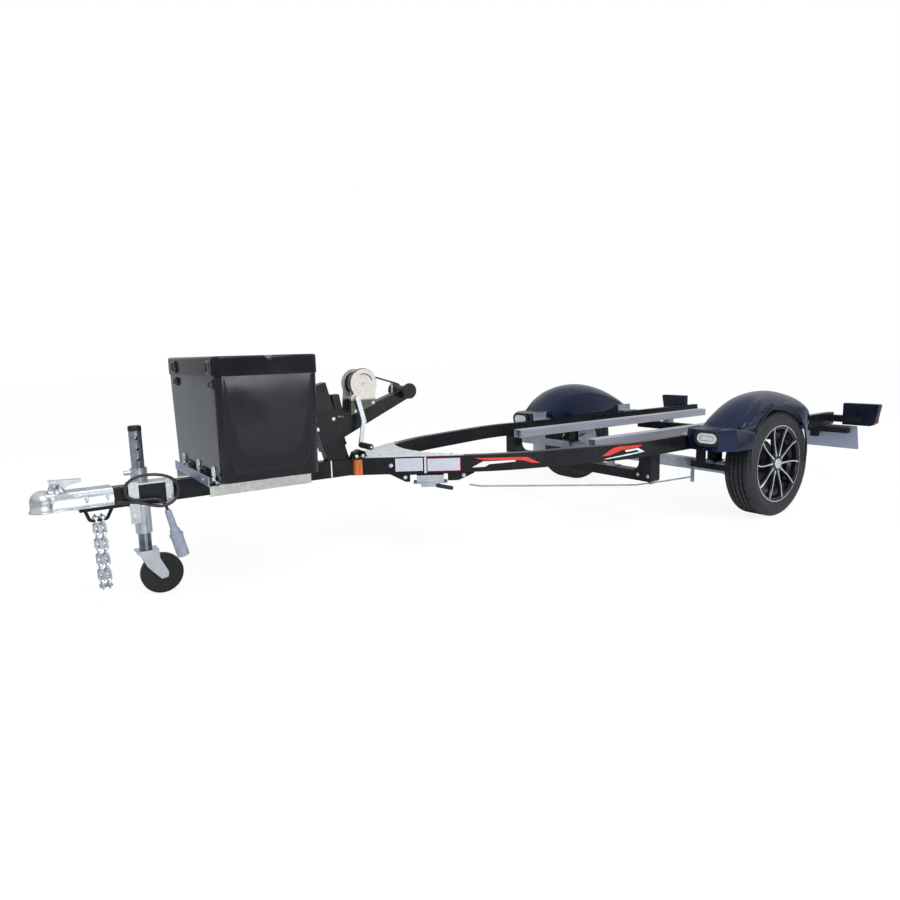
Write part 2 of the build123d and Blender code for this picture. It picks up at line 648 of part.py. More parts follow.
BOSS_R = 22.0
PIN_R = 8.0
BOOM_TOP_FRONT = (2150.0, 637.0)
BOOM_TOP_REAR = (1840.0, 742.0)
BOOM_LOW_REAR = (1800.0, 706.0)
BOOM_LOW_FRONT = (2136.0, 553.0)
WINCH_STOP = ((2166.0, 650.0), (2178.0, 742.0), (2146.0, 744.0), (2128.0, 650.0))


def boom_top(distance):
    """Height of the boom's sloping top face."""
    slope = (BOOM_TOP_REAR[1] - BOOM_TOP_FRONT[1]) / (BOOM_TOP_FRONT[0] - BOOM_TOP_REAR[0])
    return BOOM_TOP_FRONT[1] + slope * (BOOM_TOP_FRONT[0] - distance)


with BuildPart() as boom:
    with BuildSketch(post_plane(POST_W / 2 + AIR + SLEEVE_T)):
        with Locations((0, (SLEEVE_LOW + SLEEVE_HIGH) / 2)):
            Rectangle(POST_DEPTH + 2 * (AIR + SLEEVE_T), SLEEVE_HIGH - SLEEVE_LOW)
    extrude(amount=POST_W + 2 * (AIR + SLEEVE_T))
    with BuildSketch(Plane.XZ.offset(-BOOM_W / 2)):
        with BuildLine():
            Polyline(
                (ahead(BOOM_TOP_FRONT[0]), BOOM_TOP_FRONT[1]), (ahead(BOOM_TOP_REAR[0]), BOOM_TOP_REAR[1]),
                (ahead(BOOM_END[0]), BOOM_END[1] + BOSS_R), (ahead(BOOM_END[0] - BOSS_R), BOOM_END[1]),
                (ahead(BOOM_LOW_REAR[0]), BOOM_LOW_REAR[1]), (ahead(BOOM_LOW_FRONT[0]), BOOM_LOW_FRONT[1]),
                (ahead(BOOM_TOP_FRONT[0]), BOOM_TOP_FRONT[1]),
            )
        make_face()
    extrude(amount=BOOM_W)
    # upright stop in front of the winch
    with BuildSketch(Plane.XZ.offset(-BOOM_W / 2)):
        Polygon(*[(ahead(x), z) for x, z in WINCH_STOP], align=None)
    extrude(amount=BOOM_W)
    rod_y(*BOOM_END, (-BOOM_W / 2, BOOM_W / 2), BOSS_R)
    rod_y(*BOOM_END, (-BOOM_W / 2, BOOM_W / 2), PIN_R + RUNNING, Mode.SUBTRACT)
    with BuildSketch(post_plane(POST_W / 2 + AIR)):
        with Locations((0, (SLEEVE_LOW + SLEEVE_HIGH) / 2)):
            Rectangle(POST_DEPTH + 2 * AIR, SLEEVE_HIGH - SLEEVE_LOW + 40)
    extrude(amount=POST_W + 2 * AIR, mode=Mode.SUBTRACT)
save(boom.part, "winch_boom")

ROLLER_IN = BOOM_W / 2 + 4
ROLLER_PROFILE = (          # radius, y
    (0, ROLLER_IN), (24, ROLLER_IN), (BOW_ROLLER_R - 4, BOW_ROLLER_HALF - 14),
    (BOW_ROLLER_R, BOW_ROLLER_HALF - 10), (BOW_ROLLER_R, BOW_ROLLER_HALF - 3),
    (BOW_ROLLER_R - 4, BOW_ROLLER_HALF), (0, BOW_ROLLER_HALF),
)
with BuildPart() as bow_roller:
    rod_y(*BOOM_END, (-BOW_ROLLER_HALF, BOW_ROLLER_HALF), PIN_R)
    for side in (1, -1):
        with BuildSketch(Plane((ahead(BOOM_END[0]), 0, BOOM_END[1]), x_dir=(1, 0, 0), z_dir=(0, 0, 1))):
            Polygon(*[(radius, side * y) for radius, y in ROLLER_PROFILE], align=None)
        revolve(axis=Axis((ahead(BOOM_END[0]), 0, BOOM_END[1]), (0, 1, 0)))
save(bow_roller.part, "bow_roller")

# ---------------------------------------------------------------- hand winch
DRUM_TEETH = 44
PINION_TEETH = 12
GEAR_SPACING = 74.0
GEAR_MODULE = 2 * GEAR_SPACING / (DRUM_TEETH + PINION_TEETH)
BACKLASH = 0.9
PINION_TURN = math.degrees(math.atan2(39, -63))     # from straight up, forward positive
PINION_AT = (
    DRUM_AT[0] + GEAR_SPACING * math.sin(math.radians(PINION_TURN)),
    DRUM_AT[1] + GEAR_SPACING * math.cos(math.radians(PINION_TURN)),
)
GEAR_Y = (42.0, 50.0)
SIDE_Y = 34.0               # inner face of the winch's side plates
SIDE_T = 4.0
SHAFT_R = 7.0
DRUM_FLANGE_R = 50.0
WOUND_R = 44.0
COVER_R = 63.0
FOOT_FRONT = 2108.0
FOOT_REAR = 1986.0


def gear_teeth(teeth, first_turn):
    """Straight-sided teeth on the pitch circle of this many teeth, in local x and y."""
    pitch_r = GEAR_MODULE * teeth / 2
    root_r = pitch_r - 1.25 * GEAR_MODULE
    tip_r = pitch_r + 0.85 * GEAR_MODULE
    thick = math.pi * GEAR_MODULE / 2 - BACKLASH / 2
    Circle(root_r)
    for tooth in range(teeth):
        with Locations(Location((0, 0, 0), (0, 0, first_turn + 360 / teeth * tooth))):
            Polygon(
                (root_r - 1, -thick * 0.75), (tip_r, -thick * 0.27),
                (tip_r, thick * 0.27), (root_r - 1, thick * 0.75), align=None,
            )


def gear_plane(place):
    """Local x points up and local y forward, seen from the right side."""
    return Plane(origin=(ahead(place[0]), GEAR_Y[0], place[1]), x_dir=(0, 0, 1), z_dir=(0, 1, 0))


with BuildPart() as winch_drum:
    with BuildSketch(gear_plane(DRUM_AT)):
        gear_teeth(DRUM_TEETH, PINION_TURN)
    extrude(amount=GEAR_Y[1] - GEAR_Y[0])
    rod_y(*DRUM_AT, (-SIDE_Y + 2, SIDE_Y - 2), WOUND_R)
    for flange in (-SIDE_Y + 2, SIDE_Y - 5):
        rod_y(*DRUM_AT, (flange, flange + 3), DRUM_FLANGE_R)
    rod_y(*DRUM_AT, (-SIDE_Y - SIDE_T - 6, GEAR_Y[1] + 1), SHAFT_R)
save(winch_drum.part, "winch_drum")

foot_front = (ahead(FOOT_FRONT), boom_top(FOOT_FRONT) + AIR)
foot_rear = (ahead(FOOT_REAR), boom_top(FOOT_REAR) + AIR)
with BuildPart() as winch_frame:
    # side plates stand on the boom's sloping top
    for plate_y in (-SIDE_Y - SIDE_T, SIDE_Y):
        with BuildSketch(Plane.XZ.offset(-plate_y - SIDE_T)):
            with BuildLine():
                Polyline(
                    foot_front, (ahead(DRUM_AT[0] + 57), DRUM_AT[1] - 26), (ahead(DRUM_AT[0]), DRUM_AT[1]),
                    (ahead(DRUM_AT[0] - 45), DRUM_AT[1] - 43), foot_rear, foot_front,
                )
            make_face()
            with Locations((ahead(DRUM_AT[0]), DRUM_AT[1])):
                Circle(COVER_R)
        extrude(amount=SIDE_T)
    with BuildSketch(Plane.XZ.offset(-SIDE_Y - SIDE_T)):
        with BuildLine():
            Polyline(
                foot_front, (foot_front[0], foot_front[1] + PLATE),
                (foot_rear[0], foot_rear[1] + PLATE), foot_rear, foot_front,
            )
        make_face()
    extrude(amount=2 * (SIDE_Y + SIDE_T))
    # pressed cover in front of the gears, carried on a lip below
    with BuildSketch(Plane.XZ.offset(-GEAR_Y[1] - 6)):
        with Locations((ahead(DRUM_AT[0]), DRUM_AT[1])):
            Circle(COVER_R)
        with Locations((ahead(PINION_AT[0]), PINION_AT[1])):
            Circle(24)
        with BuildLine():
            Polyline(
                foot_front, (ahead(FOOT_FRONT - 4), PINION_AT[1] + 4), (ahead(DRUM_AT[0]), DRUM_AT[1]),
                (ahead(DRUM_AT[0] - 54), DRUM_AT[1] - 25), foot_rear, foot_front,
            )
        make_face()
    extrude(amount=4)
    with BuildSketch(Plane.XZ.offset(-GEAR_Y[1] - 4)):
        with BuildLine():
            Polyline(
                foot_front, (foot_front[0], foot_front[1] + PLATE),
                (foot_rear[0], foot_rear[1] + PLATE), foot_rear, foot_front,
            )
        make_face()
    extrude(amount=GEAR_Y[1] + 4 - SIDE_Y)
    rod_y(*DRUM_AT, (-80, 80), SHAFT_R + RUNNING, Mode.SUBTRACT)
    rod_y(*PINION_AT, (-80, 80), SHAFT_R + RUNNING, Mode.SUBTRACT)
save(winch_frame.part, "winch_frame")

CRANK_Y = (66.0, 73.0)
CRANK_ELBOW = (-24.0, -97.0)    # from the pinion's axis, ahead and up
CRANK_END = (-4.0, -201.0)
GRIP_R = 13.0
with BuildPart() as crank:
    with BuildSketch(gear_plane(PINION_AT)):
        gear_teeth(PINION_TEETH, PINION_TURN + 180 + 180 / PINION_TEETH)
    extrude(amount=GEAR_Y[1] - GEAR_Y[0])
    rod_y(*PINION_AT, (-SIDE_Y - SIDE_T - 6, CRANK_Y[1]), SHAFT_R)
    with BuildSketch(Plane.XZ.offset(-CRANK_Y[1])):
        points = [(ahead(PINION_AT[0] + x), PINION_AT[1] + z) for x, z in ((0, 0), CRANK_ELBOW, CRANK_END)]
        for start, end in zip(points, points[1:]):
            with BuildLine():
                Line(start, end)
            trace(line_width=20)
        for point in points:
            with Locations(point):
                Circle(11)
    extrude(amount=CRANK_Y[1] - CRANK_Y[0])
    rod_y(PINION_AT[0] + CRANK_END[0], PINION_AT[1] + CRANK_END[1], (CRANK_Y[0], CRANK_Y[1] + 96), 5)
save(crank.part, "winch_crank")

with BuildPart() as grip:
    grip_x = PINION_AT[0] + CRANK_END[0]
    grip_z = PINION_AT[1] + CRANK_END[1]
    rod_y(grip_x, grip_z, (CRANK_Y[1] + 1, CRANK_Y[1] + 93), GRIP_R)
    fillet(grip.edges().filter_by(GeomType.CIRCLE), 3)
    rod_y(grip_x, grip_z, (CRANK_Y[1], CRANK_Y[1] + 94), 5 + 0.05, Mode.SUBTRACT)
save(grip.part, "winch_grip")

STRAP_T = 2.5
STRAP_W = 44.0
strap_slope = math.radians(17)
strap_start = (
    DRUM_AT[0] - (WOUND_R + 1.5) * math.sin(strap_slope),
    DRUM_AT[1] + (WOUND_R + 1.5) * math.cos(strap_slope),
)
STRAP_LEN = 176.0
with BuildPart() as strap:
    with BuildSketch(Plane.XZ.offset(-STRAP_W / 2)):
        across = (math.sin(strap_slope) * -STRAP_T, math.cos(strap_slope) * STRAP_T)
        end = (
            strap_start[0] - STRAP_LEN * math.cos(strap_slope),
            strap_start[1] - STRAP_LEN * math.sin(strap_slope),
        )
        with BuildLine():
            Polyline(
                (ahead(strap_start[0]), strap_start[1]), (ahead(end[0]), end[1]),
                (ahead(end[0] + across[0]), end[1] + across[1]),
                (ahead(strap_start[0] + across[0]), strap_start[1] + across[1]),
                (ahead(strap_start[0]), strap_start[1]),
            )
        make_face()
    extrude(amount=STRAP_W)
save(strap.part, "winch_strap")

# a bent hook from the strap's end to the boom's top
HOOK_ROD = 5.0
with BuildPart() as strap_hook:
    hook_x = end[0] + 12
    rod_z(hook_x, 0, (boom_top(hook_x - HOOK_ROD) + AIR, end[1] + 2), HOOK_ROD)
save(strap_hook.part, "strap_hook")

# ---------------------------------------------------------------- jack with its caster
CLAMP_FRONT = 3004.0
CLAMP_REAR = 2850.0
SLEEVE_R = JACK_R + 7
SLEEVE_Z = (252.0, 506.0)
with BuildPart() as clamp:
    side_near = DRAWBAR_W / 2 + AIR
    for bar_x, bar_z in (((2970, CLAMP_FRONT), (318, 472)), ((CLAMP_REAR, 2876), (384, 472))):
        box(bar_x, (side_near, side_near + PLATE), bar_z)
    clamp_x = (CLAMP_REAR, CLAMP_FRONT)
    clamp_y = (-side_near - PLATE, side_near + PLATE)
    clamp_z = (FRAME_LOW - AIR - PLATE, FRAME_TOP + AIR + PLATE)
    box(clamp_x, clamp_y, (clamp_z[1] - PLATE, clamp_z[1]))
    box(clamp_x, clamp_y, (clamp_z[0], clamp_z[0] + PLATE))
    box(clamp_x, (-side_near - PLATE, -side_near), clamp_z)
    box((JACK_X - 16, JACK_X + 16), (JACK_Y, -side_near - 1), clamp_z)
    rod_z(JACK_X, JACK_Y, SLEEVE_Z, SLEEVE_R)
    rod_z(JACK_X, JACK_Y, (SLEEVE_Z[0] - 1, SLEEVE_Z[1] + 1), JACK_R + RUNNING, Mode.SUBTRACT)
    rod_x(JACK_Y, SLEEVE_Z[1] - 16, (JACK_X + SLEEVE_R - 2, JACK_X + SLEEVE_R + 22), 9)
save(clamp.part, "jack_clamp")

FORK_TOP = 184.0
with BuildPart() as jack:
    rod_z(JACK_X, JACK_Y, (FORK_TOP + 1, JACK_TOP - 20), JACK_R)
    rod_z(JACK_X, JACK_Y, (FORK_TOP + 20, JACK_TOP), JACK_R - 3, Mode.SUBTRACT)
    for hole_z in (540, 580, 620):
        rod_y(JACK_X, hole_z, (JACK_Y - 40, JACK_Y + 40), 5.5, Mode.SUBTRACT)
    rod_z(JACK_X, JACK_Y, (FORK_TOP - 30, FORK_TOP + 20), 9)
    rod_z(JACK_X, JACK_Y, (FORK_TOP - 30, FORK_TOP - 24), 14)
save(jack.part, "jack_leg")

with BuildPart() as jack_cap:
    rod_z(JACK_X, JACK_Y, (JACK_TOP - 20, JACK_TOP), JACK_R + 1)
    fillet(jack_cap.edges().filter_by(GeomType.CIRCLE).sort_by(Axis.Z)[-1], 6)
save(jack_cap.part, "jack_cap")

CASTER_X = JACK_X - CASTER_TRAIL
FORK_T = 5.0
# outline of a fork side from the leg's axis and the fork's top: ahead, up
FORK_SIDE = (
    (38, 0), (38, -8), (24, -22), (4, -66), (CASTER_X - JACK_X + 8, CASTER_R - FORK_TOP - 16),
    (CASTER_X - JACK_X - 16, CASTER_R - FORK_TOP - 12), (CASTER_X - JACK_X - 20, CASTER_R - FORK_TOP + 8),
    (-42, -36), (-42, 0),
)
with BuildPart() as fork:
    box((JACK_X - 42, JACK_X + 38), (JACK_Y - 34, JACK_Y + 34), (FORK_TOP - PLATE, FORK_TOP))
    for fork_y in (JACK_Y - 34, JACK_Y + 34 - FORK_T):
        with BuildSketch(Plane.XZ.offset(-fork_y - FORK_T)):
            Polygon(*[(ahead(JACK_X + x), FORK_TOP + z) for x, z in FORK_SIDE], align=None)
            fillet(vertices().group_by(Axis.Y)[0], 6)
        extrude(amount=FORK_T)
    rod_y(CASTER_X, CASTER_R, (JACK_Y - 38, JACK_Y + 38), 7)
    rod_z(JACK_X, JACK_Y, (FORK_TOP - 8, FORK_TOP + 1), 9 + RUNNING, Mode.SUBTRACT)
save(fork.part, "caster_fork")

with BuildPart() as caster:
    rod_y(CASTER_X, CASTER_R, (JACK_Y - CASTER_W / 2, JACK_Y + CASTER_W / 2), CASTER_R)
    fillet(caster.edges().filter_by(GeomType.CIRCLE), 9)
    rod_y(CASTER_X, CASTER_R, (JACK_Y - 28, JACK_Y + 28), 16)
    rod_y(CASTER_X, CASTER_R, (JACK_Y - 29, JACK_Y + 29), 7 + RUNNING, Mode.SUBTRACT)
save(caster.part, "caster_wheel")

# ---------------------------------------------------------------- coupler
DOME_R = 40.0               # pressed dome over the ball
BALL_X = NOSE_END - DOME_R
BALL_R = 25.6
BALL_Z = 418.0
DOME_Z = 436.0
COUPLER_REAR = 3053.0
COUPLER_W = 76.0
COUPLER_LOW = 400.0
NECK_W = 62.0
NECK_REAR = 3180.0
SKIN = 5.0
LIP_OUT = 5.0
LIP_T = 6.0
CHANNEL_TOP = FRAME_TOP + AIR + SKIN
LEVER_PIVOT = (3232.0, 484.0)
LEVER_W = 22.0
EAR_T = 4.0


def coupler_plan(grow):
    """Pressed channel seen from above: full width at the drawbar, waisted behind the dome."""
    half = COUPLER_W / 2 + grow
    neck = NECK_W / 2 + grow
    with BuildLine() as outline:
        FilletPolyline(
            (ahead(BALL_X), -neck), (ahead(BALL_X - 36), -neck), (ahead(NECK_REAR), -half),
            (ahead(COUPLER_REAR), -half), (ahead(COUPLER_REAR), half), (ahead(NECK_REAR), half),
            (ahead(BALL_X - 36), neck), (ahead(BALL_X), neck),
            radius=[16, 16, 0.5, 0.5, 16, 16],
        )
        Line((ahead(BALL_X), neck), (ahead(BALL_X), -neck))
    make_face(outline.edges())


with BuildPart() as coupler:
    with BuildSketch(Plane.XY.offset(COUPLER_LOW)):
        coupler_plan(0)
    extrude(amount=CHANNEL_TOP - COUPLER_LOW)
    fillet(coupler.faces().sort_by(Axis.Z)[-1].edges(), 8)
    # dome over the ball, with a saddle between it and the channel
    with Locations((ahead(BALL_X), 0, DOME_Z)):
        Sphere(DOME_R)
    rod_z(BALL_X, 0, (COUPLER_LOW, DOME_Z), DOME_R)
    rod_y(BALL_X - 46, CHANNEL_TOP + 20, (-60, 60), 26, Mode.SUBTRACT)
    # turned-out lip along the lower edge
    rod_z(BALL_X, 0, (COUPLER_LOW, COUPLER_LOW + LIP_T), DOME_R + LIP_OUT)
    with BuildSketch(Plane.XY.offset(COUPLER_LOW)):
        coupler_plan(LIP_OUT)
    extrude(amount=LIP_T)
    box((3000, NOSE_END + 60), (-80, 80), (COUPLER_LOW - 60, COUPLER_LOW), Mode.SUBTRACT)
    # ears for the lever, carried on the channel
    for ear_y in (-LEVER_W / 2 - 2 - EAR_T, LEVER_W / 2 + 2):
        with BuildSketch(Plane.XZ.offset(-ear_y - EAR_T)):
            Polygon(
                (ahead(BALL_X - 13), DOME_Z + 20), (ahead(LEVER_PIVOT[0] + 12), LEVER_PIVOT[1] + 10),
                (ahead(LEVER_PIVOT[0] - 12), LEVER_PIVOT[1] + 10),
                (ahead(LEVER_PIVOT[0] - 36), CHANNEL_TOP - 2), (ahead(LEVER_PIVOT[0] - 36), CHANNEL_TOP - 12),
                (ahead(BALL_X - 13), DOME_Z), align=None,
            )
        extrude(amount=EAR_T)
    rod_y(*LEVER_PIVOT, (-LEVER_W / 2 - 8, LEVER_W / 2 + 8), 5)
    # the drawbar's end fills the rear of the channel, the ball socket the front
    drawbar_room = DRAWBAR_W / 2 + AIR
    box(
        (COUPLER_REAR - 5, DRAWBAR_FRONT + 5), (-drawbar_room, drawbar_room),
        (COUPLER_LOW - 5, FRAME_TOP + AIR), Mode.SUBTRACT,
    )
    box((DRAWBAR_FRONT, BALL_X - BALL_R - 10), (-24, 24), (COUPLER_LOW - 5, 432), Mode.SUBTRACT)
    rod_z(BALL_X, 0, (COUPLER_LOW - 1, BALL_Z + 14), BALL_R, Mode.SUBTRACT)
save(coupler.part, "coupler_body")

# outline of the lever's pressed handle: ahead, z
LEVER_SIDE = (
    (3244, 476), (3250, 508), (3147, 503), (3148, 493), (3186, 485), (3204, 476),
)
with BuildPart() as lever:
    with BuildSketch(Plane.XZ.offset(-LEVER_W / 2)):
        Polygon(*[(ahead(x), z) for x, z in LEVER_SIDE], align=None)
    extrude(amount=LEVER_W)
    rod_y(*LEVER_PIVOT, (-12, 12), 5 + RUNNING, Mode.SUBTRACT)
save(lever.part, "coupler_lever")

# ---------------------------------------------------------------- safety chain on its hook
ROD_R = 6.0
HOOK_LOW = 345.0
with BuildPart() as hook:
    with BuildLine() as hook_line:
        FilletPolyline(
            (ahead(3149), 0, FRAME_LOW + 10), (ahead(3134), 0, HOOK_LOW), (ahead(3078), 0, HOOK_LOW),
            (ahead(3053), 0, FRAME_LOW + 10), radius=12,
        )
    with BuildSketch(Plane(origin=hook_line.line @ 0, z_dir=hook_line.line % 0)):
        Circle(ROD_R)
    sweep()
    box((3020, 3180), (-20, 20), (FRAME_LOW, FRAME_LOW + 40), Mode.SUBTRACT)
save(hook.part, "chain_hook")

LINK_T = 6.0
LINK_W = 9.0                # width of a link's opening
LINK_REACH = 29.4           # length of a link's opening
LINKS = 9                   # links down each strand
STRAND_Y = LINK_REACH / 2 + LINK_T / 2
CHAIN_LOOPS = (3094.0, 3116.0)
LINK_GAP = 0.3


def link_outline(width, reach, cut):
    """An oblong outline around its own centre, its corners cut off."""
    half_w = width / 2
    half_l = reach / 2
    return (
        (-half_w, -half_l + cut), (-half_w, half_l - cut), (-half_w + cut, half_l), (half_w - cut, half_l),
        (half_w, half_l - cut), (half_w, -half_l + cut), (half_w - cut, -half_l), (-half_w + cut, -half_l),
    )


def chain_link(x, y, z, length_dir, normal):
    """One link whose length runs along length_dir and whose flat faces along normal."""
    across = Vector(*length_dir).cross(Vector(*normal))
    with BuildSketch(Plane(origin=(ahead(x), y, z), x_dir=across, z_dir=normal)) as ring:
        Polygon(*link_outline(LINK_W + 2 * LINK_T, LINK_REACH + 2 * LINK_T, LINK_T), align=None)
        Polygon(*link_outline(LINK_W, LINK_REACH, LINK_T / 5), align=None, mode=Mode.SUBTRACT)
    extrude(ring.sketch, amount=LINK_T / 2, both=True)


LINK_STEP = LINK_REACH - LINK_GAP
with BuildPart() as chain:
    over_z = HOOK_LOW + ROD_R + LINK_GAP + LINK_T / 2
    first_z = over_z + LINK_T / 2 + LINK_GAP - LINK_REACH / 2
    last_z = first_z - LINK_STEP * (LINKS - 1)
    under_z = last_z + first_z - over_z
    for loop_x in CHAIN_LOOPS:
        chain_link(loop_x, 0, over_z, (0, 1, 0), (0, 0, 1))
        chain_link(loop_x, 0, under_z, (0, 1, 0), (0, 0, 1))
        for strand_y in (-STRAND_Y, STRAND_Y):
            for step in range(LINKS):
                normal = ((1, 0, 0), (0, 1, 0))[step % 2]
                chain_link(loop_x, strand_y, first_z - LINK_STEP * step, (0, 0, 1), normal)
save(chain.part, "safety_chain")

# ---------------------------------------------------------------- electric lead and its plug
LEAD_R = 5.5
LEAD_TURN = math.radians(29.5)
LEAD_AIM = (-math.cos(LEAD_TURN), math.sin(LEAD_TURN), 0)
GROMMET_LEN = 26.0
GROMMET_AT = (3034.0, DRAWBAR_W / 2, 402.0)
LEAD_OUT = 27.0             # straight stretch at each end of the lead
LEAD_ROUTE = (              # ahead, y, z
    (2958, 62, 393), (2926, 63, 380), (2895, 62, 374), (2864, 61, 382),
    (2841, 61, 406), (2836, 61, 440), (2850, 60, 471), (2882, 58, 489), (2922, 56, 497), (2960, 54, 497),
    (2995, 52, 487), (3017, 50, 463), (3019, 49, 431), (2997, 48, 408), (2963, 47.5, 404), (2929, 48.5, 405),
    (2904, 51, 401),
)
PLUG_LEAN = 13.0
PLUG_TOP = (2881.0, 55.0, 357.0)
PLUG_LEN = 188.0
plug_down = Vector(-math.sin(math.radians(PLUG_LEAN)), 0, -math.cos(math.radians(PLUG_LEAN)))
lead_start = tuple(g + GROMMET_LEN * a for g, a in zip(GROMMET_AT, LEAD_AIM))
lead_next = tuple(g + LEAD_OUT * a for g, a in zip(lead_start, LEAD_AIM))
lead_last = tuple(g - LEAD_OUT * a for g, a in zip(PLUG_TOP, plug_down))
route = [lead_start, lead_next, *LEAD_ROUTE, lead_last, PLUG_TOP]
points = [Vector(ahead(x), y, z) for x, y, z in route]
runs = [b - a for a, b in zip(points, points[1:])]
radii = []
for before, after in zip(runs, runs[1:]):
    turn = math.radians(before.get_angle(after))
    radii.append(0.45 * min(before.length, after.length) / math.tan(turn / 2))
print("lead radii", [round(r) for r in radii])
print("lead runs", [round(run.length) for run in runs])
with BuildPart() as lead:
    with BuildLine() as lead_line:
        FilletPolyline(*points, radius=radii)
    with BuildSketch(Plane(origin=lead_line.line @ 0, z_dir=lead_line.line % 0)):
        Circle(LEAD_R)
    sweep()
lead_length = sum(edge.length for edge in lead_line.edges())
lead_volume = lead_length * math.pi * LEAD_R ** 2
print("lead length", round(lead_length), "volume ratio", lead.part.volume / lead_volume)
save(lead.part, "lead")

plug_neck = Vector(ahead(PLUG_TOP[0]), PLUG_TOP[1], PLUG_TOP[2])
plug_profile = (            # radius, distance from the neck's end
    (0, 0), (9, 0), (12, 6), (13.5, 76), (19, 82), (19, 94), (25, 98), (25, 108), (22.5, 112),
    (22.5, PLUG_LEN), (19.5, PLUG_LEN), (19.5, PLUG_LEN - 26), (0, PLUG_LEN - 26), (0, 0),
)
with BuildPart() as plug:
    with BuildSketch(Plane(origin=plug_neck, x_dir=(0, 1, 0), z_dir=Vector(0, 1, 0).cross(plug_down))):
        with BuildLine():
            Polyline(*plug_profile)
        make_face()
    revolve(axis=Axis(plug_neck, plug_down))
save(plug.part, "lead_plug")

grommet_plane = Plane(origin=(ahead(GROMMET_AT[0]), GROMMET_AT[1], GROMMET_AT[2]), z_dir=LEAD_AIM)
with BuildPart() as grommet:
    with BuildSketch(grommet_plane.offset(-10)):
        Circle(10)
    with BuildSketch(grommet_plane.offset(GROMMET_LEN)):
        Circle(LEAD_R + 1.5)
    loft()
    box((3000, 3100), (-10, DRAWBAR_W / 2), (370, 440), Mode.SUBTRACT)
save(grommet.part, "lead_grommet")

# ---------------------------------------------------------------- side marker lamps
MARKER_X = (2070.0, 2101.0)
MARKER_OUT = 15.0
MARKER_H = 67.0
with BuildPart() as marker:
    marker_rear = (ahead(MARKER_X[0]), rail_outer(MARKER_X[0]) + AIR)
    marker_front = (ahead(MARKER_X[1]), rail_outer(MARKER_X[1]) + AIR)
    with BuildSketch(Plane.XY.offset(FRAME_TOP - FRAME_H / 2 - MARKER_H / 2)):
        Polygon(
            marker_rear, marker_front, (marker_front[0] - 3, marker_front[1] + MARKER_OUT),
            (marker_rear[0] + 3, marker_rear[1] + MARKER_OUT), align=None,
        )
    extrude(amount=MARKER_H)
save(pair(marker.part), "side_markers")

# ---------------------------------------------------------------- braces from the drop beam to the axle
BRACE_W = 40.0
BRACE_H = 44.0
BRACE_OUT = 560.0           # outer side of the brace
BRACE_FRONT = (BEAM_FRONT - BEAM_DEPTH - AIR, FRAME_LOW - 24)
BRACE_REAR = (AXLE_AHEAD + AXLE_TUBE / 2 + 15, 277.0)
brace_slope = (BRACE_FRONT[1] - BRACE_REAR[1]) / (BRACE_FRONT[0] - BRACE_REAR[0])
with BuildPart() as brace:
    rise = BRACE_H / 2 / math.cos(math.atan(brace_slope))
    with BuildSketch(Plane.XZ.offset(-BRACE_OUT)):
        Polygon(
            (ahead(BRACE_FRONT[0]), BRACE_FRONT[1] + rise), (ahead(BRACE_REAR[0]), BRACE_REAR[1] + rise),
            (ahead(BRACE_REAR[0]), BRACE_REAR[1] - rise), (ahead(BRACE_FRONT[0]), BRACE_FRONT[1] - rise),
            align=None,
        )
    extrude(amount=BRACE_W)
save(pair(brace.part), "axle_braces")

# ---------------------------------------------------------------- stays that hold up the fenders' noses
STAY_X = (402.0, 440.0)
STAY_OUT = 790.0
STAY_T = 6.0
stay_z = BRACE_REAR[1] + brace_slope * (sum(STAY_X) / 2 - BRACE_REAR[0])
with BuildPart() as stay:
    box(STAY_X, (BRACE_OUT + AIR, STAY_OUT), (stay_z - 19, stay_z - 19 + STAY_T))
    box((STAY_X[1] - STAY_T, STAY_X[1]), (BRACE_OUT + AIR, STAY_OUT), (stay_z - 19, stay_z + 10))
    box((STAY_X[1] - STAY_T, STAY_X[1]), (FENDER_IN + 8, FENDER_IN + 62), (stay_z - 19, NOSE_LOW + 28))
    box((STAY_X[0], STAY_X[1]), (FENDER_IN + 8, FENDER_IN + 8 + STAY_T), (stay_z - 19, NOSE_LOW - 40))
save(pair(stay.part), "fender_stays")

# ---------------------------------------------------------------- brake rod from the hand brake to its lever
BRAKE_ROD_R = 4.0
BRAKE_ROD = (               # ahead, y, z
    (1738, 405, 350), (1690, 414, 338), (820, 524, 240), (640, 540, 236), (452, 574, 240),
)
BRAKE_LEVER = ((436.0, 452.0), (569.0, 581.0), (214.0, 286.0))
with BuildPart() as brake_rod:
    with BuildLine() as rod_line:
        FilletPolyline(*[(ahead(x), y, z) for x, y, z in BRAKE_ROD], radius=60)
    with BuildSketch(Plane(origin=rod_line.line @ 0, z_dir=rod_line.line % 0)):
        Circle(BRAKE_ROD_R)
    sweep()
    box(*BRAKE_LEVER)
    # guide that hangs the rod under the drop beam
    box((BEAM_FRONT - 42, BEAM_FRONT - 22), (524, 542), (232, BEAM_LOW - AIR))
save(brake_rod.part, "brake_rod")

# ---------------------------------------------------------------- tail lamps, their arms and the number plate
LAMP_IN = 590.0
LAMP_OUT = 800.0
LAMP_LOW = 385.0
LAMP_HIGH = 521.0
LAMP_FRONT = -1062.0
LAMP_DEPTH = LAMP_FRONT - TAIL_END
with BuildPart() as tail_lamp:
    with BuildSketch(Plane.YZ.offset(ahead(LAMP_FRONT - LAMP_DEPTH))):
        with BuildLine():
            FilletPolyline(
                (LAMP_IN, LAMP_LOW), (LAMP_OUT - 24, LAMP_LOW), (LAMP_OUT, LAMP_HIGH), (LAMP_IN, LAMP_HIGH),
                radius=[36, 10],
            )
            Line((LAMP_IN, LAMP_HIGH), (LAMP_IN, LAMP_LOW))
        make_face()
    extrude(amount=LAMP_DEPTH)
save(pair(tail_lamp.part), "tail_lamps")

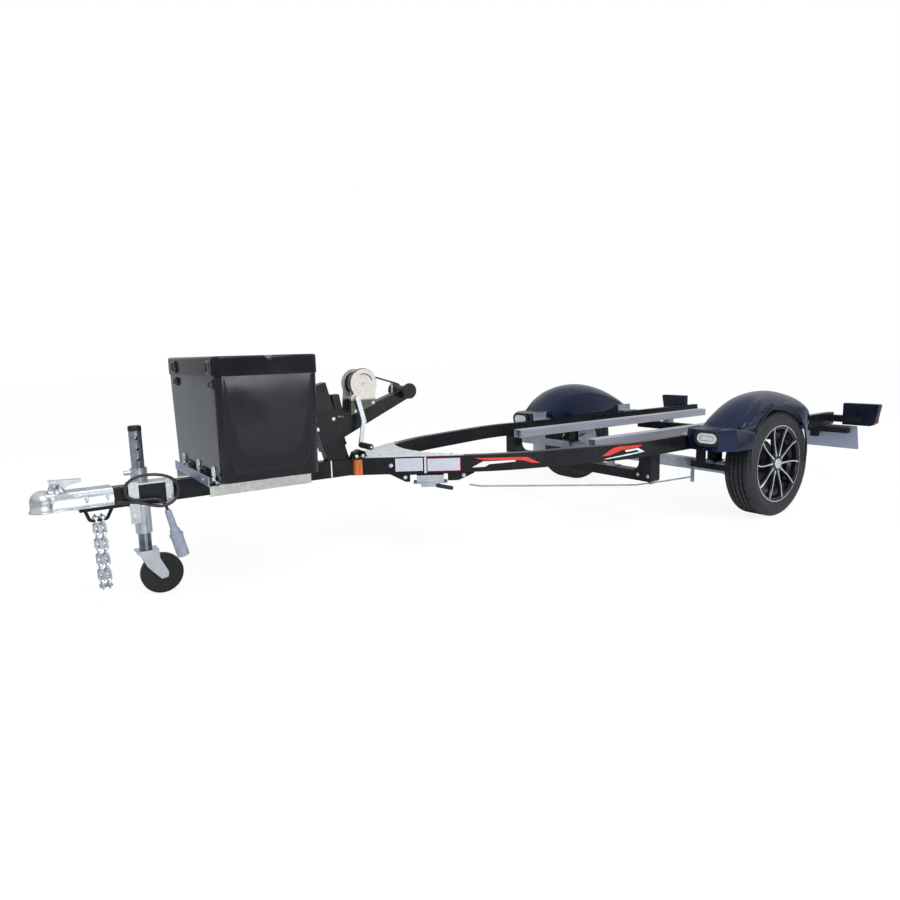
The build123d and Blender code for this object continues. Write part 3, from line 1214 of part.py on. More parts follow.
ARM_X = (LAMP_FRONT + AIR, LAMP_FRONT + 36)
with BuildPart() as lamp_arm:
    box(ARM_X, (rail_outer(LAMP_FRONT + 18) + 1, 720), (FRAME_LOW + 20, FRAME_LOW + 62))
save(pair(lamp_arm.part), "lamp_arms")

PLATE_LEFT = 681.0
PLATE_WIDE = 330.0
PLATE_HIGH = 155.0
PLATE_TOP = LAMP_LOW - 4
PLATE_LEAN = math.radians(13)           # the lower edge rearwards
PLATE_HOLES = 210.0
PLATE_HOLE_R = 3.5
PLATE_HOLE_DOWN = 32.0
PLATE_T = 2.0
PLATE_BAR = (335.0, 366.0)
PLATE_MIDDLE = PLATE_LEFT - PLATE_WIDE / 2


def plate_front(z):
    """How far ahead the leaning plate's front face is at a height."""
    return LAMP_FRONT - (PLATE_TOP - z) * math.tan(PLATE_LEAN)


with BuildPart() as plate_bar:
    box(ARM_X, (PLATE_LEFT - PLATE_WIDE + 20, 640), PLATE_BAR)
    box(ARM_X, (410, 452), (FRAME_LOW - AIR - 84, FRAME_LOW + 53))
    box(ARM_X, (410, rail_outer(LAMP_FRONT + 18) - RAIL_W - 1), (FRAME_LOW + 9, FRAME_LOW + 53))
    # a drilled wedge behind each of the plate's bolts
    for hole_y in (PLATE_MIDDLE - PLATE_HOLES / 2, PLATE_MIDDLE + PLATE_HOLES / 2):
        with BuildSketch(Plane.XZ.offset(-hole_y - 16)):
            Polygon(
                (ahead(ARM_X[0] + 1), PLATE_BAR[1]), (ahead(plate_front(PLATE_BAR[1]) + AIR), PLATE_BAR[1]),
                (ahead(plate_front(PLATE_BAR[0]) + AIR), PLATE_BAR[0]), (ahead(ARM_X[0] + 1), PLATE_BAR[0]),
                align=None,
            )
        extrude(amount=32)
        hole_z = PLATE_TOP - PLATE_HOLE_DOWN * math.cos(PLATE_LEAN)
        rod_x(hole_y, hole_z, (LAMP_FRONT - 40, ARM_X[1] + 1), PLATE_HOLE_R, Mode.SUBTRACT)
save(plate_bar.part, "plate_bar")

# local y runs down the plate
plate_plane = Plane(
    origin=(ahead(LAMP_FRONT), PLATE_MIDDLE, PLATE_TOP), x_dir=(0, 1, 0),
    z_dir=(-math.cos(PLATE_LEAN), 0, math.sin(PLATE_LEAN)),
)
with BuildPart() as number_plate:
    with BuildSketch(plate_plane):
        with Locations((0, PLATE_HIGH / 2)):
            RectangleRounded(PLATE_WIDE, PLATE_HIGH, 8)
        with Locations((0, PLATE_HOLE_DOWN)):
            with GridLocations(PLATE_HOLES, 0, 2, 1):
                Circle(PLATE_HOLE_R, mode=Mode.SUBTRACT)
    extrude(amount=PLATE_T)
save(number_plate.part, "number_plate")
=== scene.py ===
import bpy
import bmesh
import math
from mathutils import Vector, Matrix
from mathutils.bvhtree import BVHTree


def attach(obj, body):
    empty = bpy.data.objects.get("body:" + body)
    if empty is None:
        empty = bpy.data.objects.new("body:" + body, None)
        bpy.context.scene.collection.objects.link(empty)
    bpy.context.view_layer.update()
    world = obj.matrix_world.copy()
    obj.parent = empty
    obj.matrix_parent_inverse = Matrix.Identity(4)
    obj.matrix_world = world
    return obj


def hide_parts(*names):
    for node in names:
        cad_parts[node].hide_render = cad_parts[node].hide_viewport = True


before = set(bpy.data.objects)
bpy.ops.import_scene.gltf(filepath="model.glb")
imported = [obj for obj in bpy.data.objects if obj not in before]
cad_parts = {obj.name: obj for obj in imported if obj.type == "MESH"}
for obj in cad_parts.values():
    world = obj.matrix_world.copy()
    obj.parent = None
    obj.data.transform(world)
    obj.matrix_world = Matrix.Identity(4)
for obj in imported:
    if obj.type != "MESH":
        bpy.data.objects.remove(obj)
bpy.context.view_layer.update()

scene = bpy.context.scene
scene.view_settings.view_transform = "Standard"

# ---------------------------------------------------------------- camera
# The camera stands at the left front corner, at an adult's chest height, and looks down a little.
# Places are given in millimetres ahead of the wheels' axis, to the left and above the ground.
WHEEL_AXIS_AT = -1103.5


def place(ahead, left, above):
    """A point of the trailer in metres."""
    return Vector(((ahead + WHEEL_AXIS_AT) / 1000, left / 1000, above / 1000))


CAMERA_AT = place(3373.4, 2665.63, 914.93)
CAMERA_YAW = math.radians(-124.23)
CAMERA_PITCH = math.radians(8.45)
CAMERA_ROLL = math.radians(-1.57)
CAMERA_LENS = 26.66

forward = Vector((
    math.cos(CAMERA_YAW) * math.cos(CAMERA_PITCH),
    math.sin(CAMERA_YAW) * math.cos(CAMERA_PITCH),
    -math.sin(CAMERA_PITCH),
))
level_right = forward.cross(Vector((0, 0, 1))).normalized()
level_up = level_right.cross(forward)
right = level_right * math.cos(CAMERA_ROLL) + level_up * math.sin(CAMERA_ROLL)
up = level_up * math.cos(CAMERA_ROLL) - level_right * math.sin(CAMERA_ROLL)
turn = Matrix((right, up, -forward)).transposed().to_4x4()
camera_data = bpy.data.cameras.new("camera")
camera_data.lens = CAMERA_LENS
camera_data.sensor_width = 36
camera = bpy.data.objects.new("camera", camera_data)
camera.matrix_world = Matrix.Translation(CAMERA_AT) @ turn
scene.collection.objects.link(camera)
scene.camera = camera

# ---------------------------------------------------------------- electric lead, plug and grommet
# Round black jacketed lead: out of a rubber grommet in the drawbar's left side, once round in a
# loose loop over the drawbar, and into a grey seven-pin plug that hangs beside the jack.
LEAD_DIAMETER = 0.011
LEAD_ROUTE = (              # ahead, left, above
    (3011.4, 42.8, 402), (2987.9, 56.1, 402), (2958, 62, 393), (2926, 63, 380), (2895, 62, 374),
    (2864, 61, 382), (2841, 61, 406), (2836, 61, 440), (2850, 60, 471), (2882, 58, 489), (2922, 56, 497),
    (2960, 54, 497), (2995, 52, 487), (3017, 50, 463), (3019, 49, 431), (2997, 48, 408), (2963, 47.5, 404),
    (2929, 48.5, 405), (2904, 51, 401), (2887.1, 55, 383.3), (2881, 55, 357),
)


def new_material(name):
    """A material with a bare Principled shader, its node tree and that shader."""
    material = bpy.data.materials.new(name)
    material.use_nodes = True
    return material, material.node_tree, material.node_tree.nodes["Principled BSDF"]


def new_group(name, inputs, outputs):
    """An empty node group: inputs and outputs are (name, socket type, value) rows."""
    group = bpy.data.node_groups.new(name, "ShaderNodeTree")
    for label, kind, value in inputs:
        socket = group.interface.new_socket(label, in_out="INPUT", socket_type="NodeSocket" + kind)
        socket.default_value = value
    for label, kind in outputs:
        group.interface.new_socket(label, in_out="OUTPUT", socket_type="NodeSocket" + kind)
    source = group.nodes.new("NodeGroupInput")
    result = group.nodes.new("NodeGroupOutput")
    return group, source, result


def wire(tree, *rows):
    """Link nodes: each row is a node, its output, the node that it goes to and its input."""
    for source, output, target, entry in rows:
        tree.links.new(source.outputs[output], target.inputs[entry])


# Uneven tone: two colours mixed by soft cloudy noise, with a value that follows it.
uneven, uneven_in, uneven_out = new_group(
    "uneven_tone",
    (("Light", "Color", (0.5, 0.5, 0.5, 1)), ("Dark", "Color", (0.4, 0.4, 0.4, 1)), ("Scale", "Float", 20.0),
     ("Stretch", "Vector", (1, 1, 1)), ("Low", "Float", 0.2), ("High", "Float", 0.4)),
    (("Color", "Color"), ("Value", "Float")),
)
uneven_at = uneven.nodes.new("ShaderNodeTexCoord")
uneven_map = uneven.nodes.new("ShaderNodeVectorMath")
uneven_map.operation = "MULTIPLY"
uneven_noise = uneven.nodes.new("ShaderNodeTexNoise")
uneven_noise.inputs["Detail"].default_value = 5
uneven_noise.inputs["Roughness"].default_value = 0.6
uneven_mix = uneven.nodes.new("ShaderNodeMix")
uneven_mix.data_type = "RGBA"
uneven_span = uneven.nodes.new("ShaderNodeMapRange")
uneven_span.inputs["From Min"].default_value = 0.32
uneven_span.inputs["From Max"].default_value = 0.68
uneven_range = uneven.nodes.new("ShaderNodeMapRange")
wire(
    uneven,
    (uneven_at, "Object", uneven_map, 0), (uneven_in, "Stretch", uneven_map, 1),
    (uneven_map, "Vector", uneven_noise, "Vector"), (uneven_in, "Scale", uneven_noise, "Scale"),
    (uneven_noise, "Fac", uneven_span, "Value"), (uneven_span, "Result", uneven_mix, "Factor"),
    (uneven_in, "Dark", uneven_mix, "A"), (uneven_in, "Light", uneven_mix, "B"),
    (uneven_span, "Result", uneven_range, "Value"), (uneven_in, "Low", uneven_range, "To Min"),
    (uneven_in, "High", uneven_range, "To Max"), (uneven_mix, "Result", uneven_out, "Color"),
    (uneven_range, "Result", uneven_out, "Value"),
)

# Fine relief: orange peel, casting skin or moulded grain, by its scale and depth.
relief, relief_in, relief_out = new_group(
    "fine_relief",
    (("Scale", "Float", 400.0), ("Stretch", "Vector", (1, 1, 1)), ("Depth", "Float", 0.0002)),
    (("Normal", "Vector"),),
)
relief_at = relief.nodes.new("ShaderNodeTexCoord")
relief_map = relief.nodes.new("ShaderNodeVectorMath")
relief_map.operation = "MULTIPLY"
relief_noise = relief.nodes.new("ShaderNodeTexNoise")
relief_noise.inputs["Detail"].default_value = 3
relief_bump = relief.nodes.new("ShaderNodeBump")
relief_bump.inputs["Strength"].default_value = 1
wire(
    relief,
    (relief_at, "Object", relief_map, 0), (relief_in, "Stretch", relief_map, 1),
    (relief_map, "Vector", relief_noise, "Vector"), (relief_in, "Scale", relief_noise, "Scale"),
    (relief_noise, "Fac", relief_bump, "Height"), (relief_in, "Depth", relief_bump, "Distance"),
    (relief_bump, "Normal", relief_out, "Normal"),
)


def surface(
    name, light, dark, tone_scale, low, high, grain_scale, grain_depth, stretch=(1, 1, 1), extra=None
):
    """A finish of uneven tone, roughness from low to high, and a fine relief, with extra shader values."""
    material, tree, shader = new_material(name)
    tone = tree.nodes.new("ShaderNodeGroup")
    tone.node_tree = uneven
    tone.inputs["Light"].default_value = (*light, 1)
    tone.inputs["Dark"].default_value = (*dark, 1)
    tone.inputs["Scale"].default_value = tone_scale
    tone.inputs["Stretch"].default_value = stretch
    tone.inputs["Low"].default_value = low
    tone.inputs["High"].default_value = high
    grain = tree.nodes.new("ShaderNodeGroup")
    grain.node_tree = relief
    grain.inputs["Scale"].default_value = grain_scale
    grain.inputs["Stretch"].default_value = stretch
    grain.inputs["Depth"].default_value = grain_depth
    wire(
        tree,
        (tone, "Color", shader, "Base Color"), (tone, "Value", shader, "Roughness"),
        (grain, "Normal", shader, "Normal"),
    )
    for label, value in (extra or {}).items():
        shader.inputs[label].default_value = value
    return material


def multiplied(material, factor):
    """Multiply a finish's colour by a grey factor from another node's output."""
    tree = material.node_tree
    shader = tree.nodes["Principled BSDF"]
    shade = tree.nodes.new("ShaderNodeMix")
    shade.data_type = "RGBA"
    shade.blend_type = "MULTIPLY"
    shade.inputs["Factor"].default_value = 1
    tree.links.new(shader.inputs["Base Color"].links[0].from_socket, shade.inputs["A"])
    tree.links.new(factor, shade.inputs["B"])
    tree.links.new(shade.outputs["Result"], shader.inputs["Base Color"])


def deselect():
    """Nothing selected, so that what follows acts on new things only."""
    bpy.ops.object.select_all(action="DESELECT")


def activate(piece):
    """Select this piece alone."""
    deselect()
    piece.select_set(True)
    bpy.context.view_layer.objects.active = piece


def settle():
    """Set place, turn and size into the mesh."""
    bpy.ops.object.transform_apply(location=True, rotation=True, scale=True)


def begin_edit():
    """Open the mesh with all of it selected."""
    bpy.ops.object.mode_set(mode="EDIT")
    bpy.ops.mesh.select_all(action="SELECT")


def end_edit():
    """Turn all faces outward and close the mesh."""
    bpy.ops.mesh.select_all(action="SELECT")
    bpy.ops.mesh.normals_make_consistent(inside=False)
    bpy.ops.object.mode_set(mode="OBJECT")


def extrude(way):
    """Pull the selection along, leaving walls."""
    bpy.ops.mesh.extrude_region_move(TRANSFORM_OT_translate={"value": way})


def pick_faces(piece, wanted):
    """In an open mesh, select the faces that pass the test."""
    bpy.ops.mesh.select_mode(type="FACE")
    bpy.ops.mesh.select_all(action="DESELECT")
    mesh = bmesh.from_edit_mesh(piece.data)
    for face in mesh.faces:
        face.select = wanted(face)
    bmesh.update_edit_mesh(piece.data)


def round_edges(offset, segments):
    """Round every edge of the open object."""
    begin_edit()
    bpy.ops.mesh.bevel(offset=offset, segments=segments)
    bpy.ops.object.mode_set(mode="OBJECT")


def bevelled(piece, width, segments):
    """Round the piece's sharp edges with an applied bevel."""
    bevel = piece.modifiers.new("edges", "BEVEL")
    bevel.width = width
    bevel.segments = segments
    bpy.ops.object.modifier_apply(modifier="edges")


def shade_round(angle):
    """Shade smooth across edges flatter than this many degrees."""
    bpy.ops.object.shade_smooth_by_angle(angle=math.radians(angle))


def dress(material, *names):
    """Give CAD pieces their finish."""
    for name in names:
        node = bpy.data.objects[name]
        node.data.materials.clear()
        node.data.materials.append(material)


def finish_piece(piece, name, material, body, slot, *nodes):
    """Set the piece's place into its mesh, name it, and give it finish and body; its slot is not used."""
    activate(piece)
    settle()
    piece.name = name
    piece.data.name = name
    piece.data.materials.clear()
    piece.data.materials.append(material)
    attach(piece, body)
    if nodes:
        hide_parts(*nodes)
    return piece


def smooth_copy(node, name, material, body, slot, angle=35):
    """A CAD piece's own form with its facets merged and shaded round."""
    source = bpy.data.objects[node]
    piece = source.copy()
    piece.data = source.data.copy()
    scene.collection.objects.link(piece)
    activate(piece)
    begin_edit()
    bpy.ops.mesh.remove_doubles(threshold=0.00002)
    bpy.ops.mesh.select_all(action="DESELECT")
    bpy.ops.object.mode_set(mode="OBJECT")
    shade_round(angle)
    return finish_piece(piece, name, material, body, slot, node)


lead_rubber = surface(
    "lead_jacket", (0.03, 0.03, 0.033), (0.014, 0.014, 0.016), 60, 0.38, 0.55, 500, 0.0002
)
lead_curve = bpy.data.curves.new("lead", "CURVE")
lead_curve.dimensions = "3D"
lead_curve.bevel_depth = LEAD_DIAMETER / 2
lead_curve.bevel_resolution = 5
lead_curve.resolution_u = 10
lead_curve.use_fill_caps = True
lead_line = lead_curve.splines.new("NURBS")
lead_line.points.add(len(LEAD_ROUTE) - 1)
for point, spot in zip(lead_line.points, LEAD_ROUTE):
    point.co = (*place(*spot), 1)
lead_line.order_u = 3
lead_line.use_endpoint_u = True
lead = bpy.data.objects.new("lead_cord", lead_curve)
scene.collection.objects.link(lead)
lead_curve.materials.append(lead_rubber)
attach(lead, "frame")
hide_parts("lead")
plug_grey = surface(
    "plug_grey", (0.36, 0.40, 0.50), (0.27, 0.30, 0.38), 40, 0.32, 0.45, 350, 0.0002
)
dress(plug_grey, "lead_plug")
dress(lead_rubber, "lead_grommet")

# ---------------------------------------------------------------- drawbar, rails, post and beams
# Welded square and box tube, powder-coated gloss black: the coat has a slight orange peel, and
# thin dust dulls it here and there.
powder_black = surface(
    "frame_black", (0.016, 0.017, 0.020), (0.007, 0.0075, 0.009), 9, 0.14, 0.30, 700, 0.00012,
    extra={"Specular IOR Level": 0.16},
)
dress(
    powder_black, "drawbar", "side_rail_left", "side_rail_right", "drop_beam", "rear_beam",
    "axle_hangers", "winch_post", "winch_boom", "chain_hook", "lamp_arms", "plate_bar", "fender_stays",
)

# ---------------------------------------------------------------- galvanised and zinc-plated steel
# Hot-dip galvanised tube and angle show soft spangles; pressed and turned fittings are bright zinc.
def spangled(name, light, dark, cell_scale, low, high):
    """Galvanised steel: flat crystal patches over a cloudy grey."""
    material = surface(name, light, dark, 24, low, high, 260, 0.00015, extra={"Metallic": 0.75})
    tree = material.node_tree
    cells = tree.nodes.new("ShaderNodeTexVoronoi")
    cells.inputs["Scale"].default_value = cell_scale
    at = tree.nodes.new("ShaderNodeTexCoord")
    ramp = tree.nodes.new("ShaderNodeMapRange")
    ramp.inputs["To Min"].default_value = 0.82
    ramp.inputs["To Max"].default_value = 1.12
    tree.links.new(at.outputs["Object"], cells.inputs["Vector"])
    tree.links.new(cells.outputs["Color"], ramp.inputs["Value"])
    multiplied(material, ramp.outputs["Result"])
    return material


galvanised = spangled("galvanised", (0.46, 0.50, 0.57), (0.33, 0.36, 0.42), 90, 0.38, 0.55)
dress(
    galvanised, "axle_tube", "axle_braces", "suspension_arm_left", "suspension_arm_right",
    "bunk_posts", "brake_rod",
)
zinc = surface(
    "zinc", (0.60, 0.63, 0.66), (0.44, 0.47, 0.51), 16, 0.24, 0.36, 500, 0.00005,
    extra={"Metallic": 0.85},
)
sheet_zinc = surface(
    "sheet_zinc", (0.88, 0.89, 0.89), (0.76, 0.78, 0.80), 20, 0.25, 0.4, 400, 0.0001,
    extra={"Metallic": 0.35},
)
dress(sheet_zinc, "gusset_top")
dress(
    zinc, "parking_brake", "jack_clamp", "caster_fork", "coupler_lever", "strap_hook",
    "winch_crank", "fender_brackets",
)
winch_zinc = surface(
    "winch_zinc", (0.74, 0.71, 0.65), (0.60, 0.57, 0.52), 36, 0.34, 0.5, 500, 0.0001,
    extra={"Metallic": 0.6},
)
winch_tree = winch_zinc.node_tree        # darker below, where the foot is in shade
winch_at = winch_tree.nodes.new("ShaderNodeTexCoord")
winch_split = winch_tree.nodes.new("ShaderNodeSeparateXYZ")
winch_low = winch_tree.nodes.new("ShaderNodeMapRange")
winch_low.inputs["From Min"].default_value = 0.712
winch_low.inputs["From Max"].default_value = 0.722
winch_low.inputs["To Min"].default_value = 0.14
winch_tree.links.new(winch_at.outputs["Object"], winch_split.inputs["Vector"])
winch_tree.links.new(winch_split.outputs["Z"], winch_low.inputs["Value"])
multiplied(winch_zinc, winch_low.outputs["Result"])
dress(winch_zinc, "winch_frame")
gear_steel = surface(
    "gear_steel", (0.10, 0.10, 0.11), (0.04, 0.04, 0.045), 60, 0.35, 0.55, 500, 0.0001,
    extra={"Metallic": 0.8},
)
dress(gear_steel, "winch_drum")
drum_black = surface(
    "drum_black", (0.030, 0.030, 0.035), (0.016, 0.016, 0.018), 40, 0.45, 0.6, 300, 0.0002
)
dress(drum_black, "hub_drum_left", "hub_drum_right")
chain_steel = surface(
    "chain_steel", (0.66, 0.69, 0.74), (0.38, 0.41, 0.46), 45, 0.22, 0.4, 600, 0.0001,
    extra={"Metallic": 1.0},
)
smooth_copy("safety_chain", "safety_chain_links", chain_steel, "frame", "chain_steel", 50)
jack_steel = spangled("jack_steel", (0.34, 0.38, 0.44), (0.20, 0.23, 0.28), 70, 0.25, 0.45)
smooth_copy("jack_leg", "jack_tube", jack_steel, "jack", "zinc", 30)
smooth_copy("coupler_body", "coupler_pressing", zinc, "frame", "zinc", 35)

# ---------------------------------------------------------------- rubber and plastic fittings
# Moulded black rubber and plastic: grips, cap, bow rollers and the jack's caster tyre.
rubber = surface(
    "black_rubber", (0.022, 0.022, 0.024), (0.011, 0.011, 0.012), 30, 0.45, 0.65, 320, 0.00035,
    extra={"Specular IOR Level": 0.3},
)
dress(rubber, "parking_brake_grip", "winch_grip", "jack_cap", "bow_roller", "caster_wheel")
webbing = surface(
    "strap_web", (0.035, 0.035, 0.04), (0.012, 0.012, 0.014), 90, 0.6, 0.8, 240, 0.0008, (1, 6, 1)
)
dress(webbing, "winch_strap")

# ---------------------------------------------------------------- bunks
# Two straight extruded runners that carry the hull, satin pale grey.
bunk_grey = surface(
    "bunk_grey", (0.50, 0.50, 0.58), (0.38, 0.38, 0.45), 12, 0.34, 0.5, 420, 0.00015, (0.15, 1, 1),
    extra={"Metallic": 0.35},
)
dress(bunk_grey, "bunk_left", "bunk_right")

# ---------------------------------------------------------------- tyres
# 165/55 road tyres: four straight grooves round the tread, sipes across the ribs, rounded shoulders
# and two raised rings on each sidewall. The tread is spun from its cross-section.
WHEEL_MIDDLE = 713.0
WHEEL_UP = 281.0
TREAD_HALF = 56.0
GROOVES = (-36.0, -12.5, 12.5, 36.0)
GROOVE_HALF = 3.6
GROOVE_DEEP = 7.5
TYRE_STEPS = 120
sidewall = (                # radius, distance outward from the wheel's middle
    (190, 62), (204, 66), (205, 71), (214, 78.5), (217, 79.2), (218.5, 80.6), (221, 80.7), (222.5, 79.8),
    (236, 82), (246, 81.8), (247.5, 80.6), (255, 79), (264, 74), (271, 69.5), (277, 64), (280, 59),
)
tread = []
for groove in GROOVES:
    tread.append((281, groove - GROOVE_HALF))
    tread.append((281 - GROOVE_DEEP, groove - GROOVE_HALF + 1))
    tread.append((281 - GROOVE_DEEP, groove + GROOVE_HALF - 1))
    tread.append((281, groove + GROOVE_HALF))
tyre_section = (
    [(radius, -out) for radius, out in sidewall] + [(281, -TREAD_HALF + 2)] + tread
    + [(281, TREAD_HALF - 2)] + [(radius, out) for radius, out in reversed(sidewall)]
)
tyre_black = surface(
    "tyre", (0.018, 0.019, 0.023), (0.009, 0.010, 0.012), 25, 0.42, 0.62, 300, 0.0003
)


def spun_ring(section, middle, steps):
    """A closed ring spun about the wheel's axle from a section of (radius, outward) rows."""
    deselect()
    bpy.ops.mesh.primitive_circle_add(vertices=len(section), fill_type="NOTHING")
    ring = bpy.context.object
    axle = place(0, middle, WHEEL_UP)
    for vertex, (radius, out) in zip(ring.data.vertices, section):
        vertex.co = axle + Vector((0, math.copysign(out, out * middle) / 1000, radius / 1000))
    begin_edit()
    bpy.ops.mesh.spin(steps=steps, angle=math.tau, center=axle, axis=(0, 1, 0))
    bpy.ops.mesh.select_all(action="SELECT")
    bpy.ops.mesh.remove_doubles(threshold=0.00005)
    bpy.ops.mesh.normals_make_consistent(inside=False)
    bpy.ops.object.mode_set(mode="OBJECT")
    return ring


for side, name, body in ((1, "left", "wheel_left"), (-1, "right", "wheel_right")):
    tyre = spun_ring(tyre_section, side * WHEEL_MIDDLE, TYRE_STEPS)
    # sipes: every other step of the outer ribs is sunk a little
    hub = place(0, side * WHEEL_MIDDLE, WHEEL_UP)
    bpy.ops.object.mode_set(mode="EDIT")
    bpy.ops.mesh.select_mode(type="FACE")
    bpy.ops.mesh.select_all(action="DESELECT")
    mesh = bmesh.from_edit_mesh(tyre.data)
    for face in mesh.faces:
        middle = face.calc_center_median() - hub
        out = abs(middle.y) * 1000
        step = round(math.atan2(middle.z, middle.x) / math.tau * TYRE_STEPS - 0.5)
        on_rib = 40 < out < 54 or 16 < out < 32
        if on_rib and Vector((middle.x, 0, middle.z)).length > 0.2795 and step % 3 == 0:
            face.select = True
    bmesh.update_edit_mesh(tyre.data)
    bpy.ops.mesh.inset(thickness=0.0045, depth=-0.003)
    bpy.ops.object.mode_set(mode="OBJECT")
    shade_round(32)
    finish_piece(tyre, "road_tyre_" + name, tyre_black, body, "tyre", "tyre_" + name)

# ---------------------------------------------------------------- rims
# Cast alloy rims with ten slim spokes: gloss black all over, then turned bright on the lip, on a
# narrow facet down each spoke and on the hub's face, with a silver cap in the middle.
rim_black = surface(
    "rim_black", (0.012, 0.013, 0.018), (0.006, 0.007, 0.010), 40, 0.12, 0.22, 300, 0.00005,
    extra={"Specular IOR Level": 0.35},
)
rim_bright = surface(
    "rim_bright", (0.80, 0.81, 0.84), (0.66, 0.68, 0.72), 60, 0.16, 0.28, 700, 0.00004, (1, 0.1, 1),
    extra={"Metallic": 0.9},
)
RIM_HALF = 70.0
rim_section = (
    (203, RIM_HALF), (203, RIM_HALF - 5), (189.5, RIM_HALF - 8), (189.5, RIM_HALF - 34), (174, RIM_HALF - 46),
    (174, -RIM_HALF + 46), (189.5, -RIM_HALF + 34), (189.5, -RIM_HALF + 8), (203, -RIM_HALF + 5),
    (203, -RIM_HALF), (183.5, -RIM_HALF), (183.5, -RIM_HALF + 36), (168, -RIM_HALF + 48),
    (168, RIM_HALF - 48),
    (183.5, RIM_HALF - 34), (184, RIM_HALF - 8), (196, RIM_HALF),
)
lip_section = ((203.2, 70.6), (203.2, 66), (199.5, 66), (198.6, 70.6))
SPOKES = 10
SPOKE_LINE = (              # radius, degrees round, front face's outward place, width, facet, depth
    (40, 0, 60, 24, 12, 24), (70, 1.6, 61, 17, 8, 22), (118, 3.0, 63, 14, 6.5, 20),
    (160, 1.8, 65, 15, 6.5, 18),
    (187, 0, 67, 19, 8, 17), (199, -0.6, 68.5, 22, 10, 8),
)


def swept_bar(steps, corners, shape):
    """A closed bar: a grid sheet wrapped round, each vertex placed by its step and corner."""
    deselect()
    bpy.ops.mesh.primitive_grid_add(x_subdivisions=steps, y_subdivisions=corners, size=1)
    bar = bpy.context.object
    for vertex in bar.data.vertices:
        step = (vertex.co.x + 0.5) * steps
        corner = round((vertex.co.y + 0.5) * corners) % corners
        vertex.co = shape(step, corner)
    begin_edit()
    bpy.ops.mesh.remove_doubles(threshold=0.00001)
    bpy.ops.mesh.fill_holes(sides=corners)
    end_edit()
    return bar


def spoke_point(step, side, across, inward):
    """A point of a spoke: across it and inward from its front face."""
    along = step / 2
    first = min(int(along), len(SPOKE_LINE) - 2)
    share = along - first
    share = share * share * (3 - 2 * share) * 0.5 + share * 0.5
    row = [a * (1 - share) + b * share for a, b in zip(SPOKE_LINE[first], SPOKE_LINE[first + 1])]
    turn = math.radians(15 + row[1])
    radius, front, width, facet, depth = row[0], row[2], row[3], row[4], row[5]
    sideways = across * (facet if inward < 0.2 else width) / 2
    out = side * (WHEEL_MIDDLE + front - inward * depth)
    x = radius * math.sin(turn) + sideways * math.cos(turn)
    z = radius * math.cos(turn) - sideways * math.sin(turn)
    return place(x, out, WHEEL_UP + z)


def axle_disc(vertices, radius, depth, out, edge, segments):
    """A round disc on the wheel's axle, its edges rounded."""
    deselect()
    bpy.ops.mesh.primitive_cylinder_add(
        vertices=vertices, radius=radius, depth=depth, rotation=(math.pi / 2, 0, 0),
        location=place(0, out, WHEEL_UP),
    )
    disc = bpy.context.object
    settle()
    round_edges(edge, segments)
    return disc


def turned_copies(pattern, count, side):
    """The pattern and its copies at even turns about the axle, joined."""
    axle = Matrix.Translation(place(0, side * WHEEL_MIDDLE, WHEEL_UP))
    copies = [pattern]
    for number in range(1, count):
        copy = pattern.copy()
        copy.data = pattern.data.copy()
        scene.collection.objects.link(copy)
        spin = axle @ Matrix.Rotation(math.tau * number / count, 4, "Y") @ axle.inverted()
        copy.data.transform(spin)
        copies.append(copy)
    deselect()
    for copy in copies:
        copy.select_set(True)
    bpy.context.view_layer.objects.active = pattern
    bpy.ops.object.join()
    return pattern


def joined(first, *others):
    """Join pieces into the first."""
    deselect()
    for other in others:
        other.select_set(True)
    first.select_set(True)
    bpy.context.view_layer.objects.active = first
    bpy.ops.object.join()
    return first


SPOKE_SHAPE = ((-1, 1), (1, 1), (1, 0.3), (1, 0), (-1, 0), (-1, 0.3))
for side, name in ((1, "left"), (-1, "right")):
    body = "wheel_" + name
    barrel = spun_ring(rim_section, side * WHEEL_MIDDLE, 96)
    spokes = turned_copies(
        swept_bar(10, 6, lambda step, corner: spoke_point(step, side, *SPOKE_SHAPE[corner])), SPOKES, side
    )
    disc = axle_disc(64, 0.058, 0.024, side * (WHEEL_MIDDLE + 46), 0.003, 3)
    rim = joined(barrel, spokes, disc)
    shade_round(35)
    finish_piece(rim, "alloy_rim_" + name, rim_black, body, "rim_machined", "rim_" + name)
    lip = spun_ring(lip_section, side * WHEEL_MIDDLE, 96)
    facets = turned_copies(
        swept_bar(10, 4, lambda step, corner: spoke_point(
            step, side, (-0.9, 0.9, 0.9, -0.9)[corner], (0.03, 0.03, -0.05, -0.05)[corner])), SPOKES, side
    )
    cap = axle_disc(48, 0.028, 0.022, side * (WHEEL_MIDDLE + 57), 0.004, 4)
    faces = joined(lip, facets, cap)
    shade_round(35)
    finish_piece(faces, "rim_faces_" + name, rim_bright, body, "rim_machined")

# ---------------------------------------------------------------- fenders
# Fenders with a crowned dome, gloss black over a smooth moulding; the blue in their colour and
# specular tint is a painted sky reflection.
fender_gloss_painted_sky = surface(
    "fender_black", (0.006, 0.009, 0.026), (0.004, 0.006, 0.017), 5, 0.06, 0.11, 7, 0.0012,
    extra={"Specular IOR Level": 0.55, "Specular Tint": (0.42, 0.55, 1.0, 1)},
)
for side in ("left", "right"):
    smooth_copy("fender_" + side, "fender_shell_" + side, fender_gloss_painted_sky, "frame", "fender_black", 28)

